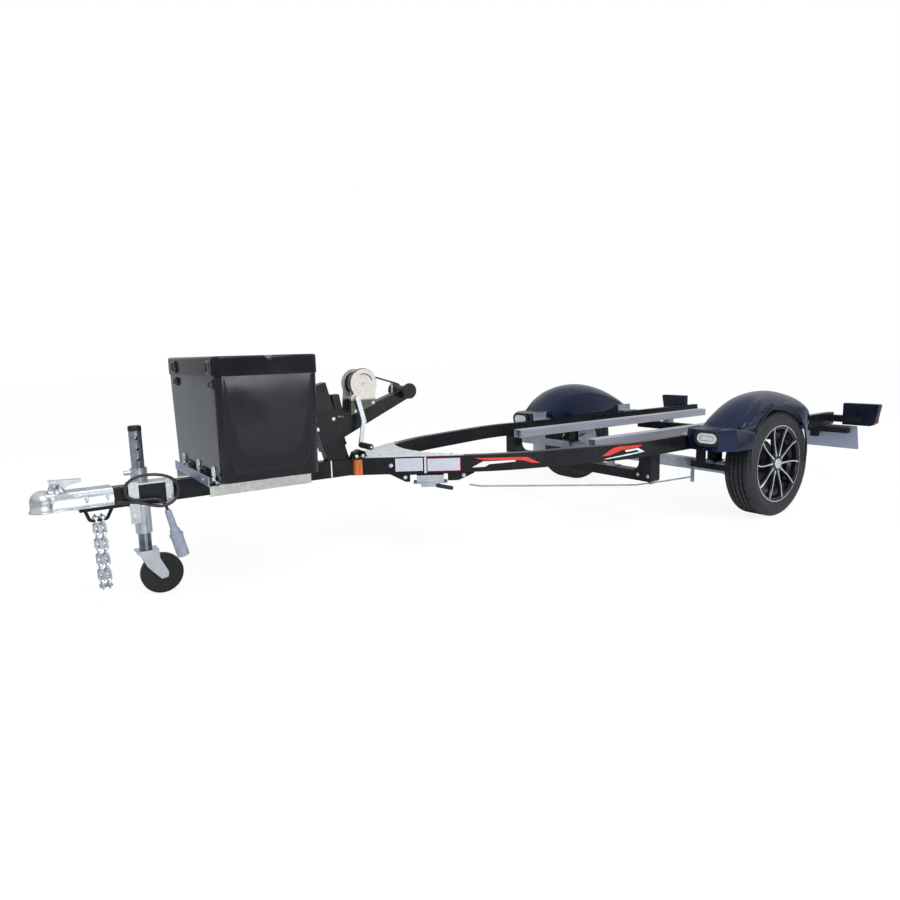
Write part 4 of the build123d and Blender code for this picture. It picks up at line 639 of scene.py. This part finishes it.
# ---------------------------------------------------------------- storage box
# Rotomoulded tub and lid in glossy black; the lid has a dip in its near edge to lift it by.
box_gloss = surface(
    "box_plastic", (0.010, 0.010, 0.015), (0.006, 0.006, 0.010), 6, 0.07, 0.15, 2.2, 0.0024,
    extra={"Specular IOR Level": 0.3},
)
smooth_copy("box_body", "box_tub", box_gloss, "frame", "box_plastic", 30)
cover = smooth_copy("box_lid", "box_cover", box_gloss, "lid", "box_plastic", 30)
activate(cover)
bpy.ops.object.mode_set(mode="EDIT")
for ahead in (2579, 2561.5, 2544):      # a dip in the near top edge, where the lid is lifted
    bpy.ops.mesh.select_all(action="SELECT")
    bpy.ops.mesh.bisect(plane_co=place(ahead, 0, 0), plane_no=(1, 0, 0))
bpy.ops.mesh.select_mode(type="VERT")
bpy.ops.mesh.select_all(action="DESELECT")
mesh = bmesh.from_edit_mesh(cover.data)
for vertex in mesh.verts:
    at_notch = abs(vertex.co.x - place(2561.5, 0, 0).x) < 0.002
    vertex.select = at_notch and vertex.co.z > 0.895 and vertex.co.y > 0.318
bmesh.update_edit_mesh(cover.data)
bpy.ops.transform.translate(value=(0, 0, -0.013))
bpy.ops.object.mode_set(mode="OBJECT")

# ---------------------------------------------------------------- lamps and number plate
# Clear front lamps, amber side markers, black tail lamps and a bare plate; the blue tint in the
# tail lamps' black is a painted sheen.
lamp_clear = surface(
    "lamp_clear", (0.80, 0.82, 0.86), (0.55, 0.58, 0.64), 120, 0.12, 0.2, 130, 0.0012, (1, 1, 0.1),
    extra={"Coat Weight": 0.8},
)
dress(lamp_clear, "front_lamps")
marker_amber = surface(
    "marker_orange", (0.85, 0.22, 0.02), (0.55, 0.10, 0.01), 150, 0.15, 0.25, 160, 0.001, (1, 1, 0.2),
    extra={"Coat Weight": 0.6},
)
dress(marker_amber, "side_markers")
# the blue tint in this black is a painted sheen, not the housing's own colour
lamp_black = surface(
    "lamp_black", (0.010, 0.012, 0.030), (0.006, 0.007, 0.018), 18, 0.18, 0.3, 400, 0.0001,
    extra={"Specular IOR Level": 0.25},
)
dress(lamp_black, "tail_lamps")
plate_grey = surface(
    "plate_grey", (0.40, 0.44, 0.56), (0.34, 0.38, 0.49), 14, 0.35, 0.5, 300, 0.0001,
    extra={"Metallic": 0.4},
)
dress(plate_grey, "number_plate")

# ---------------------------------------------------------------- lower gusset
# A flat plate under the Y of the rails with sloping wing plates welded beneath it, ahead of the
# parking brake and behind it.
def slab(points, way):
    """A flat outline, pulled along into a closed solid."""
    deselect()
    bpy.ops.mesh.primitive_circle_add(vertices=len(points), fill_type="NGON")
    solid = bpy.context.object
    for vertex, point in zip(solid.data.vertices, points):
        vertex.co = point
    begin_edit()
    extrude(way)
    end_edit()
    return solid


GUSSET_LOW = 376
GUSSET_OUTLINE = ((1640, 305), (1950, 122), (1950, -122), (1640, -305))      # ahead, left
gusset = slab([place(ahead, left, GUSSET_LOW) for ahead, left in GUSSET_OUTLINE], (0, 0, 0.008))
WINGS = (((1955, 384), (1955, 378), (1902, 345), (1886, 345), (1886, 384)),
         ((1738, 384), (1738, 344), (1700, 344), (1640, 374), (1640, 384)))
wings = []
for side in (1, -1):
    for wing in WINGS:
        wings.append(slab(
            [place(ahead, side * (122 + (1950 - ahead) * 0.59 - 8), above) for ahead, above in wing],
            (0, side * 0.008, 0),
        ))
gusset = joined(gusset, *wings)
finish_piece(gusset, "lower_gusset", powder_black, "frame", "frame_black", "gusset_lower")

# ---------------------------------------------------------------- stripes, labels and strap on the rails
# Cut vinyl stripes, red over white, lie flat on the outer faces of both rails; the left rail also
# has two blank pale labels and a bright strap round it.
LEFT_STRIPES = (
    ("red", ((1654, 446), (1619, 434), (1457, 425), (1414, 410), (1375, 406), (1438, 438), (1510, 442))),
    ("white", ((1665, 404), (1614, 405), (1598, 416), (1488, 421), (1493, 428), (1624, 429))),
    ("red", ((1067, 411), (1027, 411), (959, 432), (846, 438), (837, 447), (974, 450), (1013, 443))),
    ("white", ((1056, 394), (942, 402), (817, 411), (860, 433), (942, 429), (935, 420), (868, 424),
               (850, 414), (938, 409), (1040, 399))),
)
LABELS = ((1846, 1946, 396, 453), (1707, 1830, 392, 450))      # from, to, low, high
vinyl_red = surface(
    "vinyl_red", (0.78, 0.035, 0.020), (0.66, 0.025, 0.015), 20, 0.25, 0.38, 300, 0.00003
)
vinyl_white = surface(
    "vinyl_white", (0.84, 0.86, 0.88), (0.76, 0.78, 0.80), 20, 0.25, 0.38, 300, 0.00003
)
label_pale = surface(
    "label_pale", (0.62, 0.64, 0.74), (0.54, 0.56, 0.66), 30, 0.35, 0.5, 200, 0.00005
)
strap_bright = surface(
    "strap_bright", (0.80, 0.81, 0.82), (0.66, 0.68, 0.70), 40, 0.2, 0.3, 300, 0.00008,
    extra={"Metallic": 0.8},
)


def surface_tree(*nodes):
    """A search tree over CAD pieces, to lay thin things on them."""
    points = []
    faces = []
    for name in nodes:
        node = bpy.data.objects[name]
        first = len(points)
        points += [node.matrix_world @ vertex.co for vertex in node.data.vertices]
        faces += [tuple(first + index for index in face.vertices) for face in node.data.polygons]
    return BVHTree.FromPolygons(points, faces)


def film(outline, side, lie_on, lift, cuts=4):
    """A thin cut film from an outline of (ahead, above), laid on the outer side of what carries it."""
    deselect()
    bpy.ops.mesh.primitive_circle_add(vertices=len(outline), fill_type="NGON")
    cut = bpy.context.object
    for vertex, (ahead, above) in zip(cut.data.vertices, outline):
        vertex.co = place(ahead, side * 900, above)
    begin_edit()
    bpy.ops.mesh.quads_convert_to_tris(quad_method="BEAUTY", ngon_method="BEAUTY")
    bpy.ops.mesh.subdivide(number_cuts=cuts)
    bpy.ops.object.mode_set(mode="OBJECT")
    for vertex in cut.data.vertices:
        hit = lie_on.ray_cast(vertex.co, Vector((0, -side, 0)))
        if hit[0] is None:
            hit = lie_on.find_nearest(vertex.co)
        vertex.co = hit[0] + Vector((0, side * lift / 1000, 0))
    begin_edit()
    extrude((0, -side * lift / 2000, 0))
    end_edit()
    return cut


for side, name in ((1, "left"), (-1, "right")):
    rail_face = surface_tree("side_rail_" + name)
    for number, (colour, outline) in enumerate(LEFT_STRIPES):
        stripe = film(outline, side, rail_face, 0.7)
        vinyl = vinyl_red if colour == "red" else vinyl_white
        finish_piece(stripe, f"stripe_{name}_{number}", vinyl, "frame", "frame_black")
rail_face = surface_tree("side_rail_left")
for number, (back, front, low, high) in enumerate(LABELS):
    backing = film(((back, low), (front, low), (front, high), (back, high)), 1, rail_face, 0.7)
    edge = vinyl_white if number == 0 else vinyl_red
    finish_piece(backing, f"label_border_{number}", edge, "frame", "frame_black")
    inner = film(
        ((back + 2, low + 2), (front - 2, low + 2), (front - 2, high - 2), (back + 2, high - 2)),
        1, rail_face, 1.1,
    )
    finish_piece(inner, f"label_blank_{number}", label_pale, "frame", "frame_black")
strap_band = film(((1833, 385), (1841, 385), (1841, 458), (1833, 458)), 1, rail_face, 2.0)
finish_piece(strap_band, "rail_strap", strap_bright, "frame", "zinc")

# ---------------------------------------------------------------- bolts
# Zinc-plated hexagon bolts with washers: one is modelled and copied to each hole.
bolt_zinc = surface(
    "bolt_zinc", (0.74, 0.75, 0.77), (0.56, 0.58, 0.61), 60, 0.2, 0.35, 500, 0.00005,
    extra={"Metallic": 0.85},
)
deselect()
bpy.ops.mesh.primitive_cylinder_add(vertices=20, radius=0.95, depth=0.16, location=(0, 0, 0.08))
washer = bpy.context.object
bpy.ops.mesh.primitive_cylinder_add(vertices=6, radius=0.72, depth=0.5, location=(0, 0, 0.38))
head = bpy.context.object
round_edges(0.07, 2)
washer.select_set(True)
bpy.ops.object.join()
settle()
bolt_pattern = bpy.context.object
bolt_pattern.name = "bolt_pattern"


def bolts(name, radius, body, slot, rows):
    """Copies of the bolt, joined: rows are (ahead, left, above) and the way that the head faces."""
    copies = []
    for spot, facing in rows:
        bolt = bolt_pattern.copy()
        bolt.data = bolt_pattern.data.copy()
        scene.collection.objects.link(bolt)
        turn = Vector(facing).to_track_quat("Z", "Y").to_matrix().to_4x4()
        bolt.matrix_world = Matrix.Translation(place(*spot)) @ turn @ Matrix.Scale(radius / 1000, 4)
        copies.append(bolt)
    deselect()
    for bolt in copies:
        bolt.select_set(True)
    bpy.context.view_layer.objects.active = copies[0]
    bpy.context.view_layer.update()
    if len(copies) > 1:
        bpy.ops.object.join()
    joined = bpy.context.object
    shade_round(30)
    return finish_piece(joined, name, bolt_zinc, body, slot)


LEFT = (0, 1, 0)
OUTWARD = (0.5, 0.866, 0)
frame_bolts = [
    ((1962, 126.6, 423), OUTWARD), ((1905, 150, 366), OUTWARD), ((1680, 281, 366), OUTWARD),
    ((750.2, 479, 277), (1, 0, 0)), ((750.2, 541, 275), (1, 0, 0)),
    ((750.2, -479, 277), (1, 0, 0)), ((750.2, -541, 275), (1, 0, 0)),
]
bolts("frame_bolts", 9, "frame", "zinc", frame_bolts)
top_bolts = [((ahead, side * left, 462), (0, 0, 1)) for side in (1, -1) for ahead, left in (
    (1990, 78), (1900, 140), (1800, 200), (1720, 245),
)]
bolts("gusset_bolts", 8, "frame", "zinc", top_bolts)

# ---------------------------------------------------------------- coupler and drawbar fixings
# Two through bolts hold the pressed coupler and four the jack's clamp; two thin straps go round the
# drawbar behind the box.
bolts("coupler_bolts", 10, "frame", "zinc", [
    ((3139, 38, 432), LEFT), ((3072, 38, 433), LEFT),
    ((3139, -38, 432), (0, -1, 0)), ((3072, -38, 433), (0, -1, 0)),
])
bolts("jack_clamp_bolts", 8, "frame", "zinc", [
    ((2994, 36.3, 454), LEFT), ((2864, 36.3, 453), LEFT),
    ((2862, 36.3, 396), LEFT), ((2994, 36.3, 348), LEFT),
])


def block(middle, size):
    """A plain block in metres."""
    deselect()
    bpy.ops.mesh.primitive_cube_add(size=1, location=middle)
    solid = bpy.context.object
    solid.scale = size
    settle()
    return solid


def rolled_strap(ahead, half_left, low, high, wide, thick):
    """A flat strap bent round a tube with square corners."""
    strap = block(place(ahead, 0, (low + high) / 2), (
        wide / 1000, 2 * (half_left + thick) / 1000, (high - low + 2 * thick) / 1000,
    ))
    bpy.ops.object.mode_set(mode="EDIT")
    pick_faces(strap, lambda face: abs(face.normal.x) > 0.9)
    bpy.ops.mesh.inset(thickness=thick / 1000)
    bpy.ops.mesh.bridge_edge_loops()
    end_edit()
    bevelled(strap, 0.0006, 2)
    return strap


drawbar_strap = rolled_strap(2202, 30, 384, 459, 6, 2)
finish_piece(drawbar_strap, "drawbar_strap", strap_bright, "frame", "zinc")
post_strap = rolled_strap(2320, 30, 384, 459, 8, 2)
finish_piece(post_strap, "post_strap", powder_black, "frame", "frame_black")

# ---------------------------------------------------------------- box tray
# Galvanised angle, butted and welded: the front angle stands up against the box, the side angles
# hang down, and four flat bars across them carry the box.
tray_steel = spangled("tray_steel", (0.40, 0.46, 0.60), (0.31, 0.36, 0.48), 60, 0.4, 0.55)
tray_side_steel = spangled("tray_side_steel", (0.60, 0.60, 0.58), (0.50, 0.50, 0.48), 60, 0.4, 0.55)


def angle_bar(start, end, wide, high, thick, inward, leg_up):
    """Angle steel from start to end: an upright leg, and a flat leg that points inward."""
    way = place(*end) - place(*start)
    wide, leg, thick = wide / 1000, high / 1000 * leg_up, thick / 1000
    sheet = thick * leg_up
    corners = ((0, 0), (wide, 0), (wide, sheet), (thick, sheet), (thick, leg), (0, leg))
    bar = slab(
        [place(*start) + Vector(inward) * across + Vector((0, 0, above)) for across, above in corners], way
    )
    bevelled(bar, 0.0008, 2)
    return bar


TRAY_WIDE_HALF = 256
TRAY_AHEAD = 2776
TRAY_BACK = 2385
front_angle = angle_bar(
    (TRAY_AHEAD, -TRAY_WIDE_HALF, 459), (TRAY_AHEAD, TRAY_WIDE_HALF, 459), 40, 36, 4, (-1, 0, 0), 1
)
finish_piece(front_angle, "tray_front_angle", tray_steel, "frame", "galvanised")
rear_angle = angle_bar(
    (TRAY_BACK, -TRAY_WIDE_HALF, 459), (TRAY_BACK, TRAY_WIDE_HALF, 459), 40, 44, 4, (1, 0, 0), 1
)
finish_piece(rear_angle, "tray_rear_angle", tray_steel, "frame", "galvanised", "box_tray")
for side, name in ((1, "left"), (-1, "right")):
    side_angle = angle_bar(
        (TRAY_AHEAD - 4, side * TRAY_WIDE_HALF, 463), (TRAY_BACK + 4, side * TRAY_WIDE_HALF, 463), 40, 40, 4,
        (0, -side, 0), -1,
    )
    finish_piece(side_angle, "tray_side_angle_" + name, tray_side_steel, "frame", "galvanised")
for number, ahead in enumerate((2440, 2540, 2640, 2728)):
    batten = block(place(ahead, 0, 469.6), (0.04, 2 * TRAY_WIDE_HALF / 1000 - 0.02, 0.0128))
    round_edges(0.001, 2)
    finish_piece(batten, f"tray_batten_{number}", tray_side_steel, "frame", "galvanised")
bolts("tray_bolts", 7, "frame", "zinc", [
    ((2776, 190, 478), (1, 0, 0)), ((2776, -190, 478), (1, 0, 0)), ((2385, 190, 478), (-1, 0, 0)),
    ((2385, -190, 478), (-1, 0, 0)),
])

# ---------------------------------------------------------------- latches on the box
# Over-centre latches: two black ones hold the lid down at the front, and three bright hold-downs
# clamp the tub's foot to the tray.
latch_black = surface(
    "latch_black", (0.05, 0.055, 0.07), (0.02, 0.022, 0.03), 60, 0.15, 0.3, 300, 0.0001
)


def latch(name, left, low, high, half_wide, thick, ahead, material, body, slot):
    """A small pressed latch: a tapered plate with a raised, rounded loop."""
    plate = block(
        place(ahead + thick / 2, left, (low + high) / 2),
        (thick / 1000, 2 * half_wide / 1000, (high - low) / 1000),
    )
    bpy.ops.object.mode_set(mode="EDIT")
    pick_faces(plate, lambda face: face.normal.x > 0.9)
    bpy.ops.mesh.inset(thickness=half_wide / 4000)
    extrude((thick / 1000, 0, 0))
    bpy.ops.mesh.inset(thickness=half_wide / 5000)
    extrude((-thick / 1500, 0, 0))
    bpy.ops.mesh.select_all(action="SELECT")
    bpy.ops.mesh.bevel(offset=0.0012, segments=2)
    bpy.ops.mesh.normals_make_consistent(inside=False)
    bpy.ops.object.mode_set(mode="OBJECT")
    shade_round(35)
    return finish_piece(plate, name, material, body, slot)


for number, left in enumerate((-215, 305)):
    latch(f"lid_latch_{number}", left, 856, 906, 22, 6, 2754, latch_black, "lid", "box_plastic")
    latch(f"latch_keeper_{number}", left, 806, 840, 16, 6, 2750, latch_black, "frame", "box_plastic")
for number, left in enumerate((-196, 31, 244)):
    latch(f"hold_down_{number}", left, 490, 530, 12, 5, 2747, strap_bright, "frame", "zinc")
    latch(f"hold_down_catch_{number}", left + 14, 478, 494, 8, 5, 2752, strap_bright, "frame", "zinc")

# ---------------------------------------------------------------- winch gear, cover slot and pins
# A toothed ring turns with the drum and shows round the cover; it is drawn detail with its own
# tooth count and not the driven gear. The cover has a curved slot, drawn as a dark sheet of painted shade,
# and a centre bolt.
GEAR_TEETH = 56
DRUM_AHEAD = 2041.0
DRUM_UP = 785.0
deselect()
bpy.ops.mesh.primitive_cylinder_add(
    vertices=GEAR_TEETH * 2, radius=0.0625, depth=0.005, location=place(DRUM_AHEAD, 47, DRUM_UP),
    rotation=(math.pi / 2, 0, 0),
)
gear = bpy.context.object
settle()
gear_middle = place(DRUM_AHEAD, 47, DRUM_UP)
bpy.ops.object.mode_set(mode="EDIT")
bpy.ops.mesh.select_mode(type="FACE")
bpy.ops.mesh.select_all(action="DESELECT")
mesh = bmesh.from_edit_mesh(gear.data)
for face in mesh.faces:
    middle = face.calc_center_median() - gear_middle
    step = round(math.atan2(middle.z, middle.x) / math.tau * GEAR_TEETH * 2 - 0.5)
    face.select = abs(face.normal.y) < 0.1 and step % 2 == 0
bmesh.update_edit_mesh(gear.data)
bpy.ops.mesh.extrude_faces_move(TRANSFORM_OT_shrink_fatten={"value": 0.0042})
end_edit()
finish_piece(gear, "winch_gear", gear_steel, "drum", "zinc")

# painted shade: a thin dark sheet on the cover stands in for the shaded opening of the slot
slot_painted_shade = surface(
    "slot_painted_shade", (0.05, 0.05, 0.05), (0.02, 0.02, 0.02), 40, 0.5, 0.7, 200, 0.0001
)
deselect()
bpy.ops.mesh.primitive_plane_add(size=1)
slot = bpy.context.object
begin_edit()
bpy.ops.mesh.subdivide(number_cuts=15)
bpy.ops.object.mode_set(mode="OBJECT")
for vertex in slot.data.vertices:
    along = math.radians(112 - 100 * (vertex.co.x + 0.5))
    reach = 42 + 5 * vertex.co.y * (1 - (2 * vertex.co.x) ** 6)
    vertex.co = place(DRUM_AHEAD - reach * math.cos(along), 56.3, DRUM_UP + reach * math.sin(along))
begin_edit()
extrude((0, -0.002, 0))
end_edit()
finish_piece(slot, "cover_slot", slot_painted_shade, "frame", "zinc")
bolts("winch_bolts", 7, "frame", "zinc", [
    ((2041, 56, 785), LEFT), ((2041, -38, 785), (0, -1, 0)), ((2000, 56, 700), LEFT), ((2085, 56, 668), LEFT),
])
bolts("boom_bolts", 8, "frame", "zinc", [
    ((2255, 31.5, 600), LEFT), ((2180, 31.5, 640), LEFT),
])

# ---------------------------------------------------------------- fender ribs
# Two low swages pressed out of each fender's dome run from the arch up to the crown.
RIBS = (
    ((372, 512), (300, 566), (225, 612), (150, 640)),
    ((330, 520), (262, 572), (192, 617), (120, 645)),
)
for side, name in ((1, "left"), (-1, "right")):
    dome = surface_tree("fender_" + name)
    for number, line in enumerate(RIBS):
        deselect()
        bpy.ops.mesh.primitive_grid_add(x_subdivisions=28, y_subdivisions=8, size=1)
        rib = bpy.context.object
        for vertex in rib.data.vertices:
            along = (vertex.co.x + 0.5) * (len(line) - 1)
            first = min(int(along), len(line) - 2)
            share = along - first
            ahead = line[first][0] * (1 - share) + line[first + 1][0] * share
            above = line[first][1] * (1 - share) + line[first + 1][1] * share
            across = vertex.co.y * 2
            taper = math.sin(math.pi * min(1, max(0, vertex.co.x + 0.5))) ** 0.5
            spot = place(ahead + across * 12, side * 900, above + across * 7)
            hit = dome.ray_cast(spot, Vector((0, -side, 0)))
            if hit[0] is None:
                hit = dome.find_nearest(spot)
            height = 0.0085 * taper * math.cos(across * math.pi / 2) ** 1.2 if abs(across) < 0.999 else 0
            normal = hit[1] if hit[1].y * side > 0 else -hit[1]
            vertex.co = hit[0] + normal * (height - 0.0004)
        bpy.ops.object.shade_smooth()
        finish_piece(rib, f"fender_rib_{name}_{number}", fender_gloss_painted_sky, "frame", "fender_black")

# a rolled bead stiffens the edge of each fender's wheel arch
ARCH_AHEAD = 44
ARCH_UP = 335
ARCH_R = 261
BEAD_R = 5
BEAD_OUT = 808.5
for side, name in ((1, "left"), (-1, "right")):
    def bead_point(step, corner):
        turn = math.radians(-14 + 208 * step / 60)
        round_it = math.tau * corner / 10
        reach = ARCH_R + BEAD_R * math.cos(round_it)
        out = side * (BEAD_OUT + BEAD_R * math.sin(round_it))
        return place(ARCH_AHEAD + reach * math.cos(turn), out, ARCH_UP + reach * math.sin(turn))

    bead = swept_bar(60, 10, bead_point)
    bpy.ops.object.shade_smooth()
    finish_piece(bead, "arch_bead_" + name, fender_gloss_painted_sky, "frame", "fender_black")

# ---------------------------------------------------------------- lamp bezels and lenses
# Rubber bezels round the oval front lamps with a bright rim inside; ribbed red and amber lenses on
# the backs of the tail lamps.
rim_pale = surface(
    "lamp_rim", (0.78, 0.80, 0.84), (0.66, 0.68, 0.72), 60, 0.1, 0.2, 300, 0.00005
)


def oval_ring(ahead, left, above, half_long, half_high, wide, deep):
    """A ring round an oval lamp, its section rounded."""
    deselect()
    bpy.ops.mesh.primitive_circle_add(vertices=64, radius=1, fill_type="NGON")
    ring = bpy.context.object
    straight = half_long - half_high
    for vertex in ring.data.vertices:
        turn = math.atan2(vertex.co.y, vertex.co.x)
        across = math.cos(turn) * half_high + math.copysign(straight, math.cos(turn))
        vertex.co = place(ahead, left + across, above + math.sin(turn) * half_high)
    bpy.ops.object.mode_set(mode="EDIT")
    bpy.ops.mesh.select_mode(type="FACE")
    bpy.ops.mesh.select_all(action="SELECT")
    bpy.ops.mesh.inset(thickness=wide / 1000)
    bpy.ops.mesh.delete(type="FACE")
    bpy.ops.mesh.select_all(action="SELECT")
    extrude((deep / 1000, 0, 0))
    end_edit()
    bevelled(ring, min(wide, deep) * 0.0003, 3)
    shade_round(40)
    return ring


tail_red = surface(
    "lens_red", (0.50, 0.015, 0.012), (0.30, 0.008, 0.008), 100, 0.12, 0.2, 130, 0.0012, (0.1, 1, 1),
    extra={"Coat Weight": 0.6},
)
LAMP_OUT = 700
LAMP_UP = 457
LENS_AHEAD = -1105
LENS_UP = 453
for side, name in ((1, "left"), (-1, "right")):
    bezel = oval_ring(505, side * LAMP_OUT, LAMP_UP, 72, 41, 15, 14)
    finish_piece(bezel, "lamp_bezel_" + name, rubber, "frame", "fender_black")
    rim_ring = oval_ring(514, side * LAMP_OUT, LAMP_UP, 52, 25, 5, 4)
    finish_piece(rim_ring, "lamp_rim_" + name, rim_pale, "frame", "lamp_clear")
    band = oval_ring(516, side * LAMP_OUT, LAMP_UP, 38, 12, 3, 1.5)
    finish_piece(band, "lamp_band_" + name, strap_bright, "frame", "lamp_clear")
    for label, inner, outer, glass in (("stop", 646, 722, tail_red), ("turn", 726, 784, marker_amber)):
        lens = block(
            place(LENS_AHEAD, side * (inner + outer) / 2, LENS_UP), (0.008, (outer - inner) / 1000, 0.104)
        )
        round_edges(0.003, 3)
        shade_round(35)
        finish_piece(lens, f"tail_lens_{label}_{name}", glass, "frame", "lamp_black")

# ---------------------------------------------------------------- number plate bolts
# The bare plate is held by two zinc-plated bolts on its bar, square to its lean.
bolts("plate_bolts", 6, "frame", "zinc", [
    ((-1070.5, 411, 350.5), (-0.974, 0, 0.225)), ((-1070.5, 621, 350.5), (-0.974, 0, 0.225)),
])

# ---------------------------------------------------------------- marker hood
# A bent black guard over the side marker carries two chromed domes.
deselect()
bpy.ops.mesh.primitive_cylinder_add(vertices=8, radius=0.038, depth=0.03, location=place(2079, 45, 462),
                                    rotation=(math.pi / 2, 0, 0))
hood = bpy.context.object
settle()
begin_edit()
bpy.ops.mesh.bisect(plane_co=place(2079, 45, 459.5), plane_no=(0, 0, -1), clear_outer=True, use_fill=True)
pick_faces(hood, lambda face: face.normal.y > 0.9)
bpy.ops.mesh.inset(thickness=0.004)
extrude((0, -0.022, 0))
end_edit()
finish_piece(hood, "marker_hood", powder_black, "frame", "frame_black")
deselect()
bpy.ops.mesh.primitive_uv_sphere_add(segments=20, ring_count=12, radius=0.010, location=place(2092, 54, 470))
dome_one = bpy.context.object
bpy.ops.mesh.primitive_uv_sphere_add(segments=20, ring_count=12, radius=0.010, location=place(2062, 54, 470))
dome_one.select_set(True)
bpy.ops.object.join()
domes = bpy.context.object
bpy.ops.object.shade_smooth()
finish_piece(domes, "marker_domes", strap_bright, "frame", "zinc")
deselect()
bolt_pattern.select_set(True)
bpy.ops.object.delete()

# ---------------------------------------------------------------- floor and light
# A plain pale studio: a white floor that keeps the shadow, a white world, a soft key light and
# a low strip light beside the trailer.
deselect()
bpy.ops.mesh.primitive_plane_add(size=60, location=(0, 0, 0))
floor = bpy.context.object
floor.name = "floor"
floor_material, floor_tree, floor_shader = new_material("studio_floor")
floor_shader.inputs["Base Color"].default_value = (0.90, 0.90, 0.90, 1)
floor_shader.inputs["Roughness"].default_value = 0.9
floor_shader.inputs["Specular IOR Level"].default_value = 0.0
floor.data.materials.append(floor_material)
floor_rays = floor_tree.nodes.new("ShaderNodeLightPath")
floor_glow = floor_tree.nodes.new("ShaderNodeEmission")
floor_glow.inputs["Strength"].default_value = 1.1
floor_add = floor_tree.nodes.new("ShaderNodeMixShader")
floor_weight = floor_tree.nodes.new("ShaderNodeMath")
floor_weight.operation = "MULTIPLY"
floor_weight.inputs[1].default_value = 0.8
floor_end = floor_tree.nodes["Material Output"]
wire(
    floor_tree,
    (floor_rays, "Is Camera Ray", floor_weight, 0), (floor_weight, "Value", floor_add, "Fac"),
    (floor_shader, "BSDF", floor_add, 1), (floor_glow, "Emission", floor_add, 2),
    (floor_add, "Shader", floor_end, "Surface"),
)

world = bpy.data.worlds.new("studio")
world.use_nodes = True
scene.world = world
world_tree = world.node_tree
world_light = world_tree.nodes["Background"]
world_light.inputs["Color"].default_value = (0.90, 0.95, 1.0, 1)
world_light.inputs["Strength"].default_value = 0.62
world_white = world_tree.nodes.new("ShaderNodeBackground")
world_white.inputs["Color"].default_value = (1, 1, 1, 1)
world_white.inputs["Strength"].default_value = 1.0
world_rays = world_tree.nodes.new("ShaderNodeLightPath")
world_at = world_tree.nodes.new("ShaderNodeTexCoord")
world_split = world_tree.nodes.new("ShaderNodeSeparateXYZ")
world_ramp = world_tree.nodes.new("ShaderNodeMapRange")
world_ramp.inputs["From Min"].default_value = -0.05
world_ramp.inputs["From Max"].default_value = 0.6
world_ramp.inputs["To Min"].default_value = 0.30
world_level = world_tree.nodes.new("ShaderNodeMath")
world_level.operation = "MAXIMUM"
wire(
    world_tree,
    (world_at, "Generated", world_split, "Vector"), (world_split, "Z", world_ramp, "Value"),
    (world_ramp, "Result", world_level, 0), (world_rays, "Is Camera Ray", world_level, 1),
    (world_level, "Value", world_white, "Strength"),
)
world_seen = world_tree.nodes.new("ShaderNodeMath")
world_seen.operation = "MAXIMUM"
world_mix = world_tree.nodes.new("ShaderNodeMixShader")
world_tree.links.new(world_rays.outputs["Is Camera Ray"], world_seen.inputs[0])
world_tree.links.new(world_rays.outputs["Is Transmission Ray"], world_seen.inputs[1])
world_all = world_tree.nodes.new("ShaderNodeMath")
world_all.operation = "MAXIMUM"
wire(
    world_tree,
    (world_rays, "Is Glossy Ray", world_all, 0), (world_seen, "Value", world_all, 1),
    (world_all, "Value", world_mix, "Fac"), (world_light, "Background", world_mix, 1),
    (world_white, "Background", world_mix, 2),
    (world_mix, "Shader", world_tree.nodes["World Output"], "Surface"),
)

key_data = bpy.data.lights.new("key", "AREA")
key_data.energy = 160
key_data.size = 3
key = bpy.data.objects.new("key", key_data)
key.location = (1.5, 4, 4.5)
key.rotation_euler = (Vector((0.2, 0, 0.4)) - key.location).to_track_quat("-Z", "Y").to_euler()
scene.collection.objects.link(key)

strip_data = bpy.data.lights.new("strip", "AREA")
strip_data.shape = "RECTANGLE"
strip_data.energy = 22
strip_data.size = 4.5
strip_data.size_y = 0.22
strip = bpy.data.objects.new("strip", strip_data)
strip.location = (0.2, 4.2, 0.42)
strip.rotation_euler = (Vector((0.2, 0, 0.6)) - strip.location).to_track_quat("-Z", "Y").to_euler()
scene.collection.objects.link(strip)
